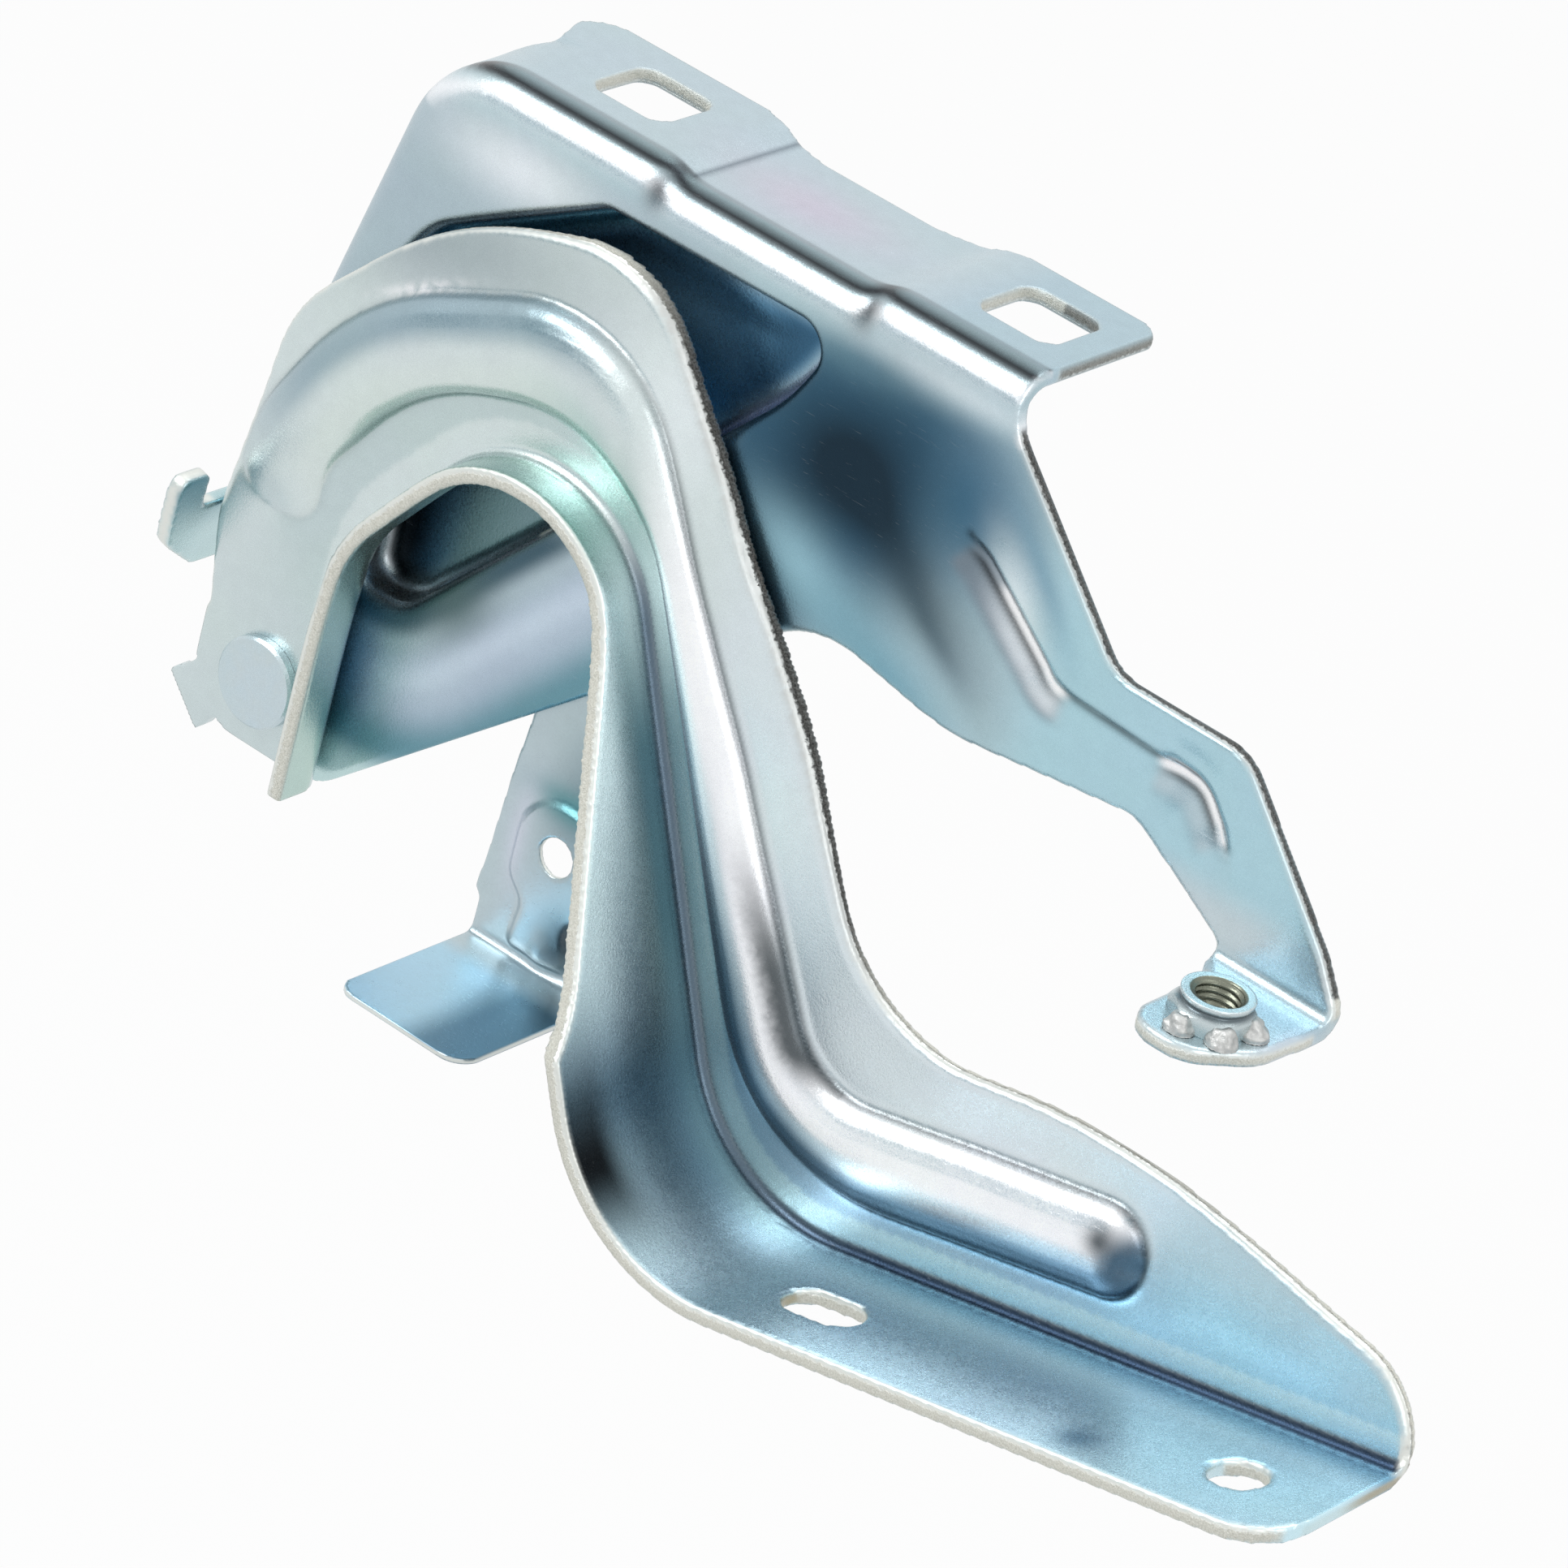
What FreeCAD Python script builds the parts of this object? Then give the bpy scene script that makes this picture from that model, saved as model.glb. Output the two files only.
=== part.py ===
import FreeCAD, Part
import math
import os

# Bonnet hinge, closed position, in millimetres.
# Origin: midway between the two square body holes, on the top face of the body flange.
# X runs along the hole line towards the bonnet end, Y points away from the front of the hinge, Z is up.

# Sheet metal
sheet = 3.0                  # plate of the arm and of the body bracket
bend_in = 3.5                # radius inside a fold
bend_out = bend_in + sheet   # radius outside a fold
leg_sheet = 1.2              # thin plate of the support leg
leg_bend_in = 1.5
leg_bend_out = leg_bend_in + leg_sheet

# Body flange and its holes
hole_spacing = 82.0          # between the two square body holes
hole_side = 15.4             # side of a square hole
body_hole_corner = 3.2
pad_end = 14.5               # from a hole centre to the right end of the flange
pad_left = 24.4              # from the other hole centre to the free left end of its pad
side_left = 30.2             # from that hole centre to the side flange, at the top
side_slope = 0.24            # lean of the side flange towards the pivot end, per unit of height
web_front_y = -21.0          # front face of the bracket web, from the hole line
flange_back_y = 15.0         # back edge of the two pads
mid_back_y = 11.5            # back edge between the pads
step_drop = 1.8              # the flange between the pads lies this much lower
step_left = -19.0
step_right = 19.5
step_ramp = 5.0
step_round = 14.0
drawn_corner = 20.0          # radius of the drawn left end

# Pivot
pivot_x = -73.0              # pivot axis, from the origin
pivot_z = -121.0
thrust_gap = 1.0             # thickness of the thrust washer between arm and bracket
eye_radius = 15.0
ear_radius = 15.0
rivet_shank = 10.0           # diameter in the arm's bush
bush_wall = 1.0
bush_clearance = 0.05        # radial running clearance on the rivet
rivet_head = 16.4
rivet_head_height = 2.0
rivet_edge = 0.5
tail_diameter = 14.5
tail_height = 3.0
tail_dome = 1.2
washer_diameter = 20.0
washer_thickness = 1.2
thrust_diameter = 24.0
fit_clearance = 0.02         # radial gap of the parts pressed on the rivet and of the bush in the arm
head_gap = 0.05              # axial play under the rivet head

# Arm, sizes from the pivot axis
arm_reach = 248.5            # to the end of the bonnet flange
flange_depth = 35.0          # bonnet flange, from the front face of the arm web
neck_depth = 9.5             # shallow flange round the arch
flange_slope = 0.2027        # rise of the bonnet flange per unit of X
flange_corner = 11.0
slot_length = 15.0
slot_width = 9.5
bonnet_hole = 10.0
bonnet_hole_spacing = 82.0
bonnet_hole_depth = 19.5     # from the arm web to the hole line
bonnet_hole_end = 17.0       # from the round hole to the end of the arm
bead_height = 5.0
bead_inset = 1.6             # the hollow behind the bead is this much narrower on each side
bead_end = 53.5              # from the end of the arm to the domed end of the bead
lug_width = 10.2
lug_head = 11.0
lug_reach = 19.3
lug_offset = 2.6             # its middle line passes the pivot this far on the neck's side

# Pocket in the bracket web
pocket_depth = 8.0
pocket_round = 3.0

# Side flange and stop finger
side_depth_top = 24.0
side_depth_low = 9.0
finger_reach = 14.5          # how far the finger stands in front of the web
finger_width = 6.5
finger_height = 14.0
finger_tip = 8.3

# Leg to the weld nut
tab_drop = -72.0             # top face of the nut tab
tab_bend = 2.0               # radius inside the tab's fold
tab_left = 118.0
tab_right = 138.4
tab_depth = 27.8             # from the front face of the web
tab_round = 10.4             # run of the slanted corner at the front right
tab_relief = 2.8             # the root is this much wider on the left
nut_x = 127.2
nut_y = -16.6                # from the front face of the web
nut_turn = -40.0             # direction of one corner, from +X
nut_thread = 8.0
nut_flats = 13.0
nut_height = 5.2
nut_collar = 12.2
nut_collar_height = 1.6
weld_radius = 2.3
crease_depth = 1.2
crease_width = 4.4

# Support leg, sizes from the pivot axis
leg_left = 48.0
leg_width = 29.0
leg_top = 46.0
leg_fold = -24.7             # top face of the tab
leg_tab_depth = 31.5         # from the front face of the web
leg_hole = 7.0
leg_hole_x = 63.0
leg_hole_z = -2.4
leg_pad_rise = 1.5
leg_pad_radius = 9.5

# Derived planes
web_back_y = web_front_y + sheet
arm_back_y = web_front_y - thrust_gap
arm_front_y = arm_back_y - sheet
bonnet_edge_y = arm_front_y - flange_depth
flange_end_x = hole_spacing / 2 + pad_end
side_top_x = -hole_spacing / 2 - side_left
bush_outer = rivet_shank + 2 * (bush_clearance + bush_wall)
seat_bore = rivet_shank + 2 * fit_clearance

V = FreeCAD.Vector
AXIS_Y = V(0, 1, 0)


def corner(before, at, after):
    """Unit directions into and out of a corner, and the angle it turns by."""
    a = V(at[0] - before[0], at[1] - before[1], 0).normalize()
    b = V(after[0] - at[0], after[1] - at[1], 0).normalize()
    turn = math.atan2(a.x * b.y - a.y * b.x, a.dot(b))
    return a, b, turn


def rounded(points, closed):
    """Lines and tangent arcs through points (u, v, radius), in the plane z = 0."""
    count = len(points)
    edges = []
    ends = []
    for i, p in enumerate(points):
        at = V(p[0], p[1], 0)
        inner = closed or 0 < i < count - 1
        if not inner or len(p) < 3 or p[2] <= 0:
            ends.append((at, at, None))
            continue
        a, b, turn = corner(points[i - 1], p, points[(i + 1) % count])
        run = p[2] * math.tan(abs(turn) / 2)
        lift = p[2] * (1 / math.cos(turn / 2) - 1)
        inward = (b - a).normalize()
        ends.append((at - a * run, at + b * run, at + inward * lift))
    for i in range(count):
        start, stop, middle = ends[i]
        if middle is not None:
            edges.append(Part.Arc(start, middle, stop).toShape())
        if i < count - 1 or closed:
            following = ends[(i + 1) % count][0]
            if stop.distanceToPoint(following) > 1e-6:
                edges.append(Part.LineSegment(stop, following).toShape())
    return edges


def offset(points, distance, closed=False):
    """The same path shifted to its right, with concentric corners."""
    out = []
    count = len(points)
    for i, p in enumerate(points):
        if not closed and (i == 0 or i == count - 1):
            q = points[1] if i == 0 else points[-2]
            d = V(q[0] - p[0], q[1] - p[1], 0).normalize() * (1 if i == 0 else -1)
            out.append((p[0] + d.y * distance, p[1] - d.x * distance))
            continue
        a, b, turn = corner(points[i - 1], p, points[(i + 1) % count])
        side = V(a.y + b.y, -a.x - b.x, 0).normalize()
        reach = distance / math.cos(turn / 2)
        radius = p[2] + (distance if turn > 0 else -distance) if len(p) > 2 else 0
        out.append((p[0] + side.x * reach, p[1] + side.y * reach, radius))
    return out


def front_face(points):
    """A closed outline (x, z, radius) as a face in the plane y = 0."""
    wire = Part.Wire(rounded(points, True))
    wire.rotate(V(0, 0, 0), V(1, 0, 0), 90)
    return Part.Face(wire)


def front_prism(points, y_from, y_to):
    """An outline (x, z, radius) extruded along Y."""
    face = front_face(points)
    face.translate(V(0, y_from, 0))
    return face.extrude(V(0, y_to - y_from, 0))


def top_prism(points, z_from, z_to):
    """An outline (x, y, radius) extruded along Z."""
    face = Part.Face(Part.Wire(rounded(points, True)))
    face.translate(V(0, 0, z_from))
    return face.extrude(V(0, 0, z_to - z_from))


def side_prism(points, x_from, x_to):
    """An outline (y, z, radius) extruded along X."""
    wire = Part.Wire(rounded(points, True))
    wire.rotate(V(0, 0, 0), V(0, 0, 1), 90)
    wire.rotate(V(0, 0, 0), V(0, 1, 0), 90)
    face = Part.Face(wire)
    face.translate(V(x_from, 0, 0))
    return face.extrude(V(x_to - x_from, 0, 0))


def from_pivot(points):
    """Outline points given from the pivot axis, in the part's frame."""
    return [(p[0] + pivot_x, p[1] + pivot_z) + tuple(p[2:]) for p in points]


def edges_on(shape, path, y):
    """Edges of the shape that lie in the plane y and on the path."""
    wire = Part.Wire(rounded(path, False))
    wire.rotate(V(0, 0, 0), V(1, 0, 0), 90)
    wire.translate(V(0, y, 0))
    found = []
    for edge in shape.Edges:
        box = edge.BoundBox
        if box.YLength > 1e-4 or abs(box.YMin - y) > 1e-4:
            continue
        middle = edge.valueAt((edge.FirstParameter + edge.LastParameter) / 2)
        if wire.distToShape(Part.Vertex(middle))[0] < 1e-3:
            found.append(edge)
    return found


def cylinder(diameter, y_from, y_to, x=pivot_x, z=pivot_z):
    """A cylinder along Y at the pivot, or where x and z say."""
    return Part.makeCylinder(diameter / 2, y_to - y_from, V(x, y_from, z), AXIS_Y)


def build_arm():
    """Gooseneck arm: web, flange round the inside of the hook, bead, holes and lug."""
    fold = [
        (13.2, -12.8),
        (13.6, 38.5, 21.0),
        (54.9, 86.2, 25.4),
        (114.5, -38.7, 32.0),
    ]
    beyond = arm_reach + 20
    fold.append((beyond, fold[-1][1] + flange_slope * (beyond - fold[-1][0])))
    inner_fold = from_pivot(fold)
    outer_fold = offset(inner_fold, sheet)
    elbow = outer_fold[3]
    end_x = pivot_x + arm_reach
    end_z = elbow[1] + flange_slope * (end_x - elbow[0])

    low = pivot_z - 60
    high = pivot_z + 130
    around = [(end_x + 20, high), (pivot_x - 40, high), (pivot_x - 40, low)]
    edge_y = bonnet_edge_y - 1
    outer = front_prism(outer_fold + around + [(outer_fold[0][0], low)], edge_y, arm_back_y)
    outer = outer.makeFillet(bend_out, edges_on(outer, outer_fold, arm_back_y))
    inner = front_prism(inner_fold + around + [(inner_fold[0][0], low)], edge_y - 1, arm_front_y)
    inner = inner.makeFillet(bend_in, edges_on(inner, inner_fold, arm_front_y))
    arm = outer.cut(inner)

    spare = offset(inner_fold, 2 * sheet)
    crown_x = 133.6 + 0.465 * (arm_reach - 133.6)
    outside = from_pivot([
        (arm_reach, 1.6, 16.0),
        (crown_x, 13.4, 135.0),
        (133.6, 4.3, 32.0),
        (108.0, 43.4, 120.0),
        (56.0, 107.6, 24.0),
        (17.7, 98.0, 70.0),
        (-11.0, 67.0, 28.0),
        (-17.2, 24.0, 20.0),
        (-14.6, 8.0, 25.0),
        (-eye_radius, fold[0][1], 0.83 * eye_radius),
    ])
    outline = spare[:4] + [(end_x, end_z - sheet)] + outside
    arm = arm.common(front_prism(outline, edge_y - 5, arm_back_y + 5))

    behind = arm_back_y + 5
    neck_y = arm_front_y - neck_depth
    plan = [
        (pivot_x - 40, behind),
        (pivot_x - 40, bonnet_edge_y),
        (end_x, bonnet_edge_y, flange_corner),
        (end_x, behind),
    ]
    arm = arm.common(top_prism(plan, low, high))
    taper = [
        (bonnet_edge_y - 5, pivot_z - 17),
        (bonnet_edge_y + 0.4, pivot_z - 17, 30.0),
        (neck_y, pivot_z + 50, 40.0),
        (neck_y, high + 1),
        (bonnet_edge_y - 5, high + 1),
    ]
    arm = arm.cut(side_prism(taper, pivot_x + 50, end_x + 5))
    arm = arm.cut(Part.makeBox(110, 60, 200, V(pivot_x - 45, neck_y - 60, low)))

    bead_x = arm_reach - bead_end
    foot = from_pivot([
        (-14.5, 31.0, 6.8),
        (-13.2, 46.5, 35.0),
        (3.8, 77.0, 55.0),
        (55.7, 100.7, 29.0),
        (127.7, -9.0, 17.0),
        (bead_x, -9.0 + flange_slope * (bead_x - 127.7), 8.0),
        (bead_x, -29.2 + 1.08 * flange_slope * (bead_x - 118.1), 8.0),
        (118.1, -29.2, 36.0),
        (62.2, 82.3, 30.0),
        (19.2, 66.9, 42.0),
        (3.5, 43.1, 16.0),
        (3.5, 31.0, 6.5),
    ])
    tip_x = bead_x - 7.0
    crest = from_pivot([
        (-7.5, 37.0, 2.4),
        (-6.0, 46.0, 18.0),
        (8.5, 69.5, 40.0),
        (58.1, 94.1, 21.0),
        (125.0, -17.7, 20.0),
        (tip_x, -17.7 + flange_slope * (tip_x - 125.0) + 1.6, 1.0),
        (tip_x, -20.3 + flange_slope * (tip_x - 121.5) - 0.4, 1.0),
        (121.5, -20.3, 24.0),
        (62.1, 86.0, 23.0),
        (20.5, 70.5, 40.0),
        (0.5, 44.5, 13.0),
        (-1.5, 37.0, 2.4),
    ])
    ridge = dome(foot, crest, arm_front_y, bead_height)
    hollow = dome(offset(foot, bead_inset, True), crest, arm_back_y, bead_height)
    arm = arm.fuse(ridge).cut(hollow)

    lug = Part.makeBox(lug_reach, sheet, lug_width, V(0, 0, -lug_width / 2 - lug_offset))
    tip_foot = V(lug_reach - sheet, 0, -lug_head / 2 - lug_offset)
    tip = Part.makeBox(sheet, sheet, lug_head, tip_foot)
    lug = lug.fuse(tip)
    lug.rotate(V(0, 0, 0), AXIS_Y, 135)
    lug.translate(V(pivot_x, arm_front_y, pivot_z))
    arm = arm.fuse(lug)
    arm = arm.cut(cylinder(bush_outer + 2 * fit_clearance, arm_front_y - 10, arm_back_y + 1))

    hole_x = end_x - bonnet_hole_end
    tilt = math.degrees(math.atan(flange_slope))
    along = V(math.cos(math.radians(tilt)), 0, math.sin(math.radians(tilt)))
    inner_z = end_z + sheet / along.x + flange_slope * (hole_x - end_x)
    hole_y = arm_front_y - bonnet_hole_depth
    centre = V(hole_x, hole_y, inner_z)
    arm = arm.cut(flange_cutter(bonnet_hole, bonnet_hole, centre, tilt))
    slot_centre = centre - along * bonnet_hole_spacing
    arm = arm.cut(flange_cutter(slot_length, slot_width, slot_centre, tilt))
    return arm


def dome(foot, crest, y, height):
    """A rounded swelling in front of the plane y, from its foot outline up to its crest outline."""
    wires = []
    for angle in (0, 45, 90):
        share = 1 - math.cos(math.radians(angle))
        rise = height * math.sin(math.radians(angle))
        level = []
        for a, b in zip(foot, crest):
            level.append(tuple(u + share * (v - u) for u, v in zip(a, b)))
        wire = front_face(level).OuterWire
        wire.translate(V(0, y - rise, 0))
        wires.append(wire)
    below = wires[0].copy()
    below.translate(V(0, sheet / 2, 0))
    return Part.makeLoft([below] + wires, True, True)


def flat_at(edge, y):
    """True for an edge that lies in the plane y."""
    box = edge.BoundBox
    return box.YLength < 1e-4 and abs(box.YMin - y) < 1e-3


def straight_edges(shape, y, z):
    """Edges along X that lie at y and z: the lines of a fold."""
    found = []
    for edge in shape.Edges:
        box = edge.BoundBox
        if flat_at(edge, y) and box.ZLength < 1e-4 and abs(box.ZMin - z) < 1e-3:
            found.append(edge)
    return found


def flange_cutter(length, width, centre, tilt):
    """A round-ended cutter through the bonnet flange, along the fold."""
    half = (length - width) / 2
    tool = Part.makeCylinder(width / 2, 4 * sheet, V(half, 0, -2 * sheet))
    if half > 0:
        tool = tool.fuse(Part.makeCylinder(width / 2, 4 * sheet, V(-half, 0, -2 * sheet)))
        tool = tool.fuse(Part.makeBox(2 * half, width, 4 * sheet, V(-half, -width / 2, -2 * sheet)))
    tool.rotate(V(0, 0, 0), AXIS_Y, -tilt)
    tool.translate(centre)
    return tool


def side_line(z, inward=0.0):
    """X of the outer face of the side flange at height z."""
    return side_top_x + side_slope * z + inward * math.hypot(1, side_slope)


def bracket_block(inward):
    """Solid under the bracket's skin, shrunk by inward: web, top and side in one form."""
    low = pivot_z - 40
    drop = step_drop
    top = -inward
    points = [
        (side_line(low, inward), low),
        (side_line(top, inward), top, drawn_corner - inward),
        (step_left - step_ramp, top, step_round - inward),
        (step_left, top - drop, step_round + inward),
        (step_right, top - drop, step_round + inward),
        (step_right + step_ramp, top, step_round - inward),
        (tab_right + 20, top),
        (tab_right + 20, low),
    ]
    front = web_front_y + inward
    block = front_prism(points, front, flange_back_y + inward)
    edges = []
    for edge in block.Edges:
        box = edge.BoundBox
        if not flat_at(edge, front) or box.ZMax < low + 1 or box.XMin > tab_right + 19:
            continue
        edges.append(edge)
    return block.makeFillet(bend_out - inward, edges)


def web_outline():
    """Outline of the bracket seen from the front, with the ear and the long leg."""
    ear_low = pivot_z - ear_radius
    ear_left = pivot_x - ear_radius
    notch_z = pivot_z + 26.5
    foot = tab_drop - sheet
    return [
        (side_line(notch_z) - 5, notch_z),
        (side_line(notch_z) - 5, 10.0),
        (flange_end_x - 1, 10.0),
        (flange_end_x - 1, -8.6, 10.0),
        (84.0, -37.9, 9.0),
        (110.6, -38.2, 10.0),
        (tab_right - 5.0, -62.3, 20.0),
        (tab_right, tab_drop + tab_bend + 0.3, 5.0),
        (tab_right, foot),
        (tab_left - tab_relief, foot),
        (tab_left - tab_relief, tab_drop + tab_bend + 0.3, 3.0),
        (94.8, -57.8, 9.0),
        (57.0, -62.8, 45.0),
        (28.5, -57.0, 20.0),
        (pivot_x + 12.9, ear_low, 10.0),
        (ear_left, ear_low, ear_radius - 1),
        (ear_left, notch_z - 6, 4.0),
        (ear_left - 3, notch_z),
    ]


def pocket_outline():
    """The large recess between the fold and the tongue."""
    return [
        (-30.5, -11.5, 6.0),
        (18.5, -11.0, 5.0),
        (11.5, -25.5, 35.0),
        (-52.0, -97.0, 9.0),
        (-62.2, -97.0, 5.4),
        (-66.0, -32.5, 12.0),
    ]


def build_bracket():
    """Body bracket: web with pocket, body flange, side flange, finger, leg and nut tab."""
    outer = bracket_block(0.0)
    inner = bracket_block(sheet)
    pocket = front_prism(pocket_outline(), web_front_y - 1, web_front_y + pocket_depth)
    floor_edges = [e for e in pocket.Edges if flat_at(e, web_front_y + pocket_depth)]
    pocket = pocket.makeFillet(pocket_round, floor_edges)
    outer = outer.cut(pocket)
    outer = outer.makeFillet(pocket_round - 0.5, rim_edges(outer))
    bump_y = web_front_y + pocket_depth + sheet
    bump = front_prism(offset(pocket_outline(), -sheet, True), web_front_y, bump_y)
    bump = bump.makeChamfer(pocket_round, [e for e in bump.Edges if flat_at(e, bump_y)])
    shell = outer.cut(inner.cut(bump))
    shell = shell.common(front_prism(web_outline(), web_front_y - 5, flange_back_y + 5))

    side_back_y = web_front_y + side_depth_top
    corner_x = side_top_x + 0.8 * drawn_corner
    keep = [
        (side_top_x - 60, web_front_y - 10),
        (flange_end_x, web_front_y - 10),
        (flange_end_x, flange_back_y, 5.0),
        (step_right + 4, flange_back_y, 20.0),
        (step_right - 8, mid_back_y, 20.0),
        (step_left + 6, mid_back_y, 20.0),
        (step_left - 8, flange_back_y, 20.0),
        (corner_x, flange_back_y),
        (corner_x, side_back_y),
        (side_top_x - 60, side_back_y),
    ]
    slab = Part.makeBox(400, 100, -pivot_z + 60, V(-150, web_front_y + bend_out, pivot_z - 50))
    slab = slab.cut(top_prism(keep, pivot_z - 60, 30))
    shell = shell.cut(slab)
    taper = [
        (web_front_y + side_depth_low, pivot_z - 60),
        (web_front_y + side_depth_low, pivot_z + 36, 20.0),
        (side_back_y, -24.0, 20.0),
        (side_back_y + 1, -20.0),
        (side_back_y + 10, pivot_z - 60),
    ]
    shell = shell.cut(side_prism(taper, side_top_x - 60, side_top_x + 35))
    pad_x = -hole_spacing / 2 - pad_left
    pad = [
        (corner_x + 1, side_back_y - 1),
        (corner_x + 1, flange_back_y),
        (pad_x, flange_back_y, 7.0),
        (pad_x, side_back_y - 1, 2.0),
    ]
    shell = shell.fuse(top_prism(pad, -sheet, 0))
    bracket = shell.fuse(build_finger())
    bracket = add_leg(bracket)
    for x in (-hole_spacing / 2, hole_spacing / 2):
        bracket = bracket.cut(body_hole(x))
    return bracket.cut(cylinder(seat_bore, web_front_y - 1, web_back_y + 1))


def rim_edges(block):
    """Edges of the pocket's mouth on the front face, apart from the one under the fold."""
    wire = front_face(pocket_outline()).OuterWire
    wire.translate(V(0, web_front_y, 0))
    found = []
    for edge in block.Edges:
        if not flat_at(edge, web_front_y):
            continue
        middle = edge.valueAt((edge.FirstParameter + edge.LastParameter) / 2)
        if wire.distToShape(Part.Vertex(middle))[0] < 1e-3:
            found.append(edge)
    return found


def body_hole(x):
    """Cutter for a square hole with rounded corners at x on the hole line."""
    a = hole_side / 2
    r = body_hole_corner
    points = [(x - a, -a, r), (x + a, -a, r), (x + a, a, r), (x - a, a, r)]
    return top_prism(points, -sheet - 5, 5)


def build_finger():
    """Stop finger: the foot of the side flange, standing forward of the web."""
    reach = finger_reach
    foot = -finger_height
    points = [
        (side_depth_low, 5.0),
        (side_depth_low, foot, 3.0),
        (-1.5, foot, 4.0),
        (-reach + 3.0, foot / 2, 6.0),
        (-reach - 0.8, finger_tip - 2.0, 3.0),
        (-reach + 0.8, finger_tip, 1.5),
        (-reach + finger_width, finger_tip, 1.5),
        (-reach + finger_width + 1.8, 0.6, 1.8),
        (bend_out, 0.6),
        (bend_out, 5.0),
    ]
    plate = side_prism(points, 0, sheet)
    plate.rotate(V(0, 0, 0), AXIS_Y, math.degrees(math.atan(side_slope)))
    root_z = pivot_z + 25.0
    plate.translate(V(side_line(root_z), web_front_y, root_z))
    return plate


def strip(path, half):
    """A closed outline of constant width round an open path."""
    left = offset(path, -half)
    right = offset(path, half)
    cap = half * 0.95
    ends = [left[0][:2] + (cap,), left[-1][:2] + (cap,)]
    tail = [right[-1][:2] + (cap,), right[0][:2] + (cap,)]
    return [ends[0]] + left[1:-1] + [ends[1], tail[0]] + right[1:-1][::-1] + [tail[1]]


def add_leg(bracket):
    """Nut tab at the foot of the long leg, and the crease along the leg."""
    front = web_front_y - tab_depth
    root_y = web_front_y - tab_bend - 0.3
    plan = [
        (tab_left - tab_relief, web_back_y),
        (tab_left - tab_relief, root_y, 1.0),
        (tab_left, root_y - tab_relief, 2.0),
        (tab_left, front, 6.5),
        ((tab_left + tab_right) / 2 + 2, front, 8.0),
        (tab_right - 0.8, front + tab_round, 9.0),
        (tab_right, root_y - 4, 5.0),
        (tab_right, web_back_y),
    ]
    tab = top_prism(plan, tab_drop - sheet, tab_drop)
    bracket = bracket.fuse(tab).removeSplitter()
    bracket = bracket.makeFillet(tab_bend, straight_edges(bracket, web_front_y, tab_drop))
    tab_outer = straight_edges(bracket, web_back_y, tab_drop - sheet)
    bracket = bracket.makeFillet(tab_bend + sheet, tab_outer)
    bolt_foot = V(nut_x, web_front_y + nut_y, tab_drop - 2 * sheet)
    bracket = bracket.cut(Part.makeCylinder(nut_thread / 2 + 0.5, 4 * sheet, bolt_foot))

    path = [(52.2, -28.5), (73.6, -44.8, 5.0), (104.8, -46.6, 7.0), (112.0, -54.5)]
    return bracket.fuse(crease(path, web_back_y)).cut(crease(path, web_front_y))


def crease(path, y):
    """The pressed crease along a path, as a body with sloping sides from the plane y to the back."""
    wide = front_face(strip(path, crease_width / 2)).OuterWire
    wide.translate(V(0, y, 0))
    narrow = front_face(strip(path, crease_width / 5)).OuterWire
    narrow.translate(V(0, y + crease_depth, 0))
    return Part.makeLoft([wide, narrow], True, True)


def build_support_leg():
    """Thin leg welded behind the tongue, with its tab turned forward."""
    back = web_back_y + leg_sheet
    right = leg_left + leg_width
    under = leg_fold - leg_sheet
    outline = from_pivot([
        (leg_left + 0.8, under),
        (leg_left + 0.8, leg_fold + 6.5, 1.0),
        (leg_left - 0.5, leg_fold + 8.0, 1.0),
        (leg_left + 4.0, leg_top - 10, 4.0),
        (right, leg_top + 12, 4.0),
        (right, under),
    ])
    plate = front_prism(outline, web_back_y, back)
    front = web_front_y - leg_tab_depth
    plan = [
        (pivot_x + leg_left + 0.8, back),
        (pivot_x + leg_left + 0.8, front, 4.0),
        (pivot_x + right, front, 5.0),
        (pivot_x + right, back),
    ]
    fold_z = pivot_z + leg_fold
    tab = top_prism(plan, fold_z - leg_sheet, fold_z)
    leg = plate.fuse(tab).removeSplitter()
    leg = leg.makeFillet(leg_bend_in, straight_edges(leg, web_back_y, fold_z))
    leg = leg.makeFillet(leg_bend_out, straight_edges(leg, back, fold_z - leg_sheet))

    pad = pad_shape(leg_pad_radius, 5.5)
    raised = front_prism(pad, web_back_y - leg_pad_rise, web_back_y + leg_sheet / 2)
    crest = [e for e in raised.Edges if flat_at(e, web_back_y - leg_pad_rise)]
    raised = raised.makeChamfer(leg_pad_rise * 0.8, crest)
    inset = leg_sheet * 0.8
    hollow = front_prism(pad_shape(leg_pad_radius - inset, 5.5 - inset), back - leg_pad_rise, back + 1)
    leg = leg.fuse(raised).cut(hollow)
    bore = cylinder(leg_hole, web_back_y - 10, back + 5, pivot_x + leg_hole_x, pivot_z + leg_hole_z)
    return leg.cut(bore)


def pad_shape(radius, half_neck):
    """Keyhole outline of the raised pad: round the hole, then down to the fold."""
    x = pivot_x + leg_hole_x
    z = pivot_z + leg_hole_z
    low = pivot_z + leg_fold + leg_bend_in + 0.5
    r = radius * 0.95
    return [
        (x - radius, z + radius, r),
        (x + radius, z + radius, r),
        (x + radius, z - radius * 0.8, r * 0.5),
        (x + half_neck, z - radius * 1.2, 3.0),
        (x + half_neck + 1, low, 1.5),
        (x - half_neck - 1, low, 1.5),
        (x - half_neck, z - radius * 1.2, 3.0),
        (x - radius, z - radius * 0.8, r * 0.5),
    ]


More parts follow.
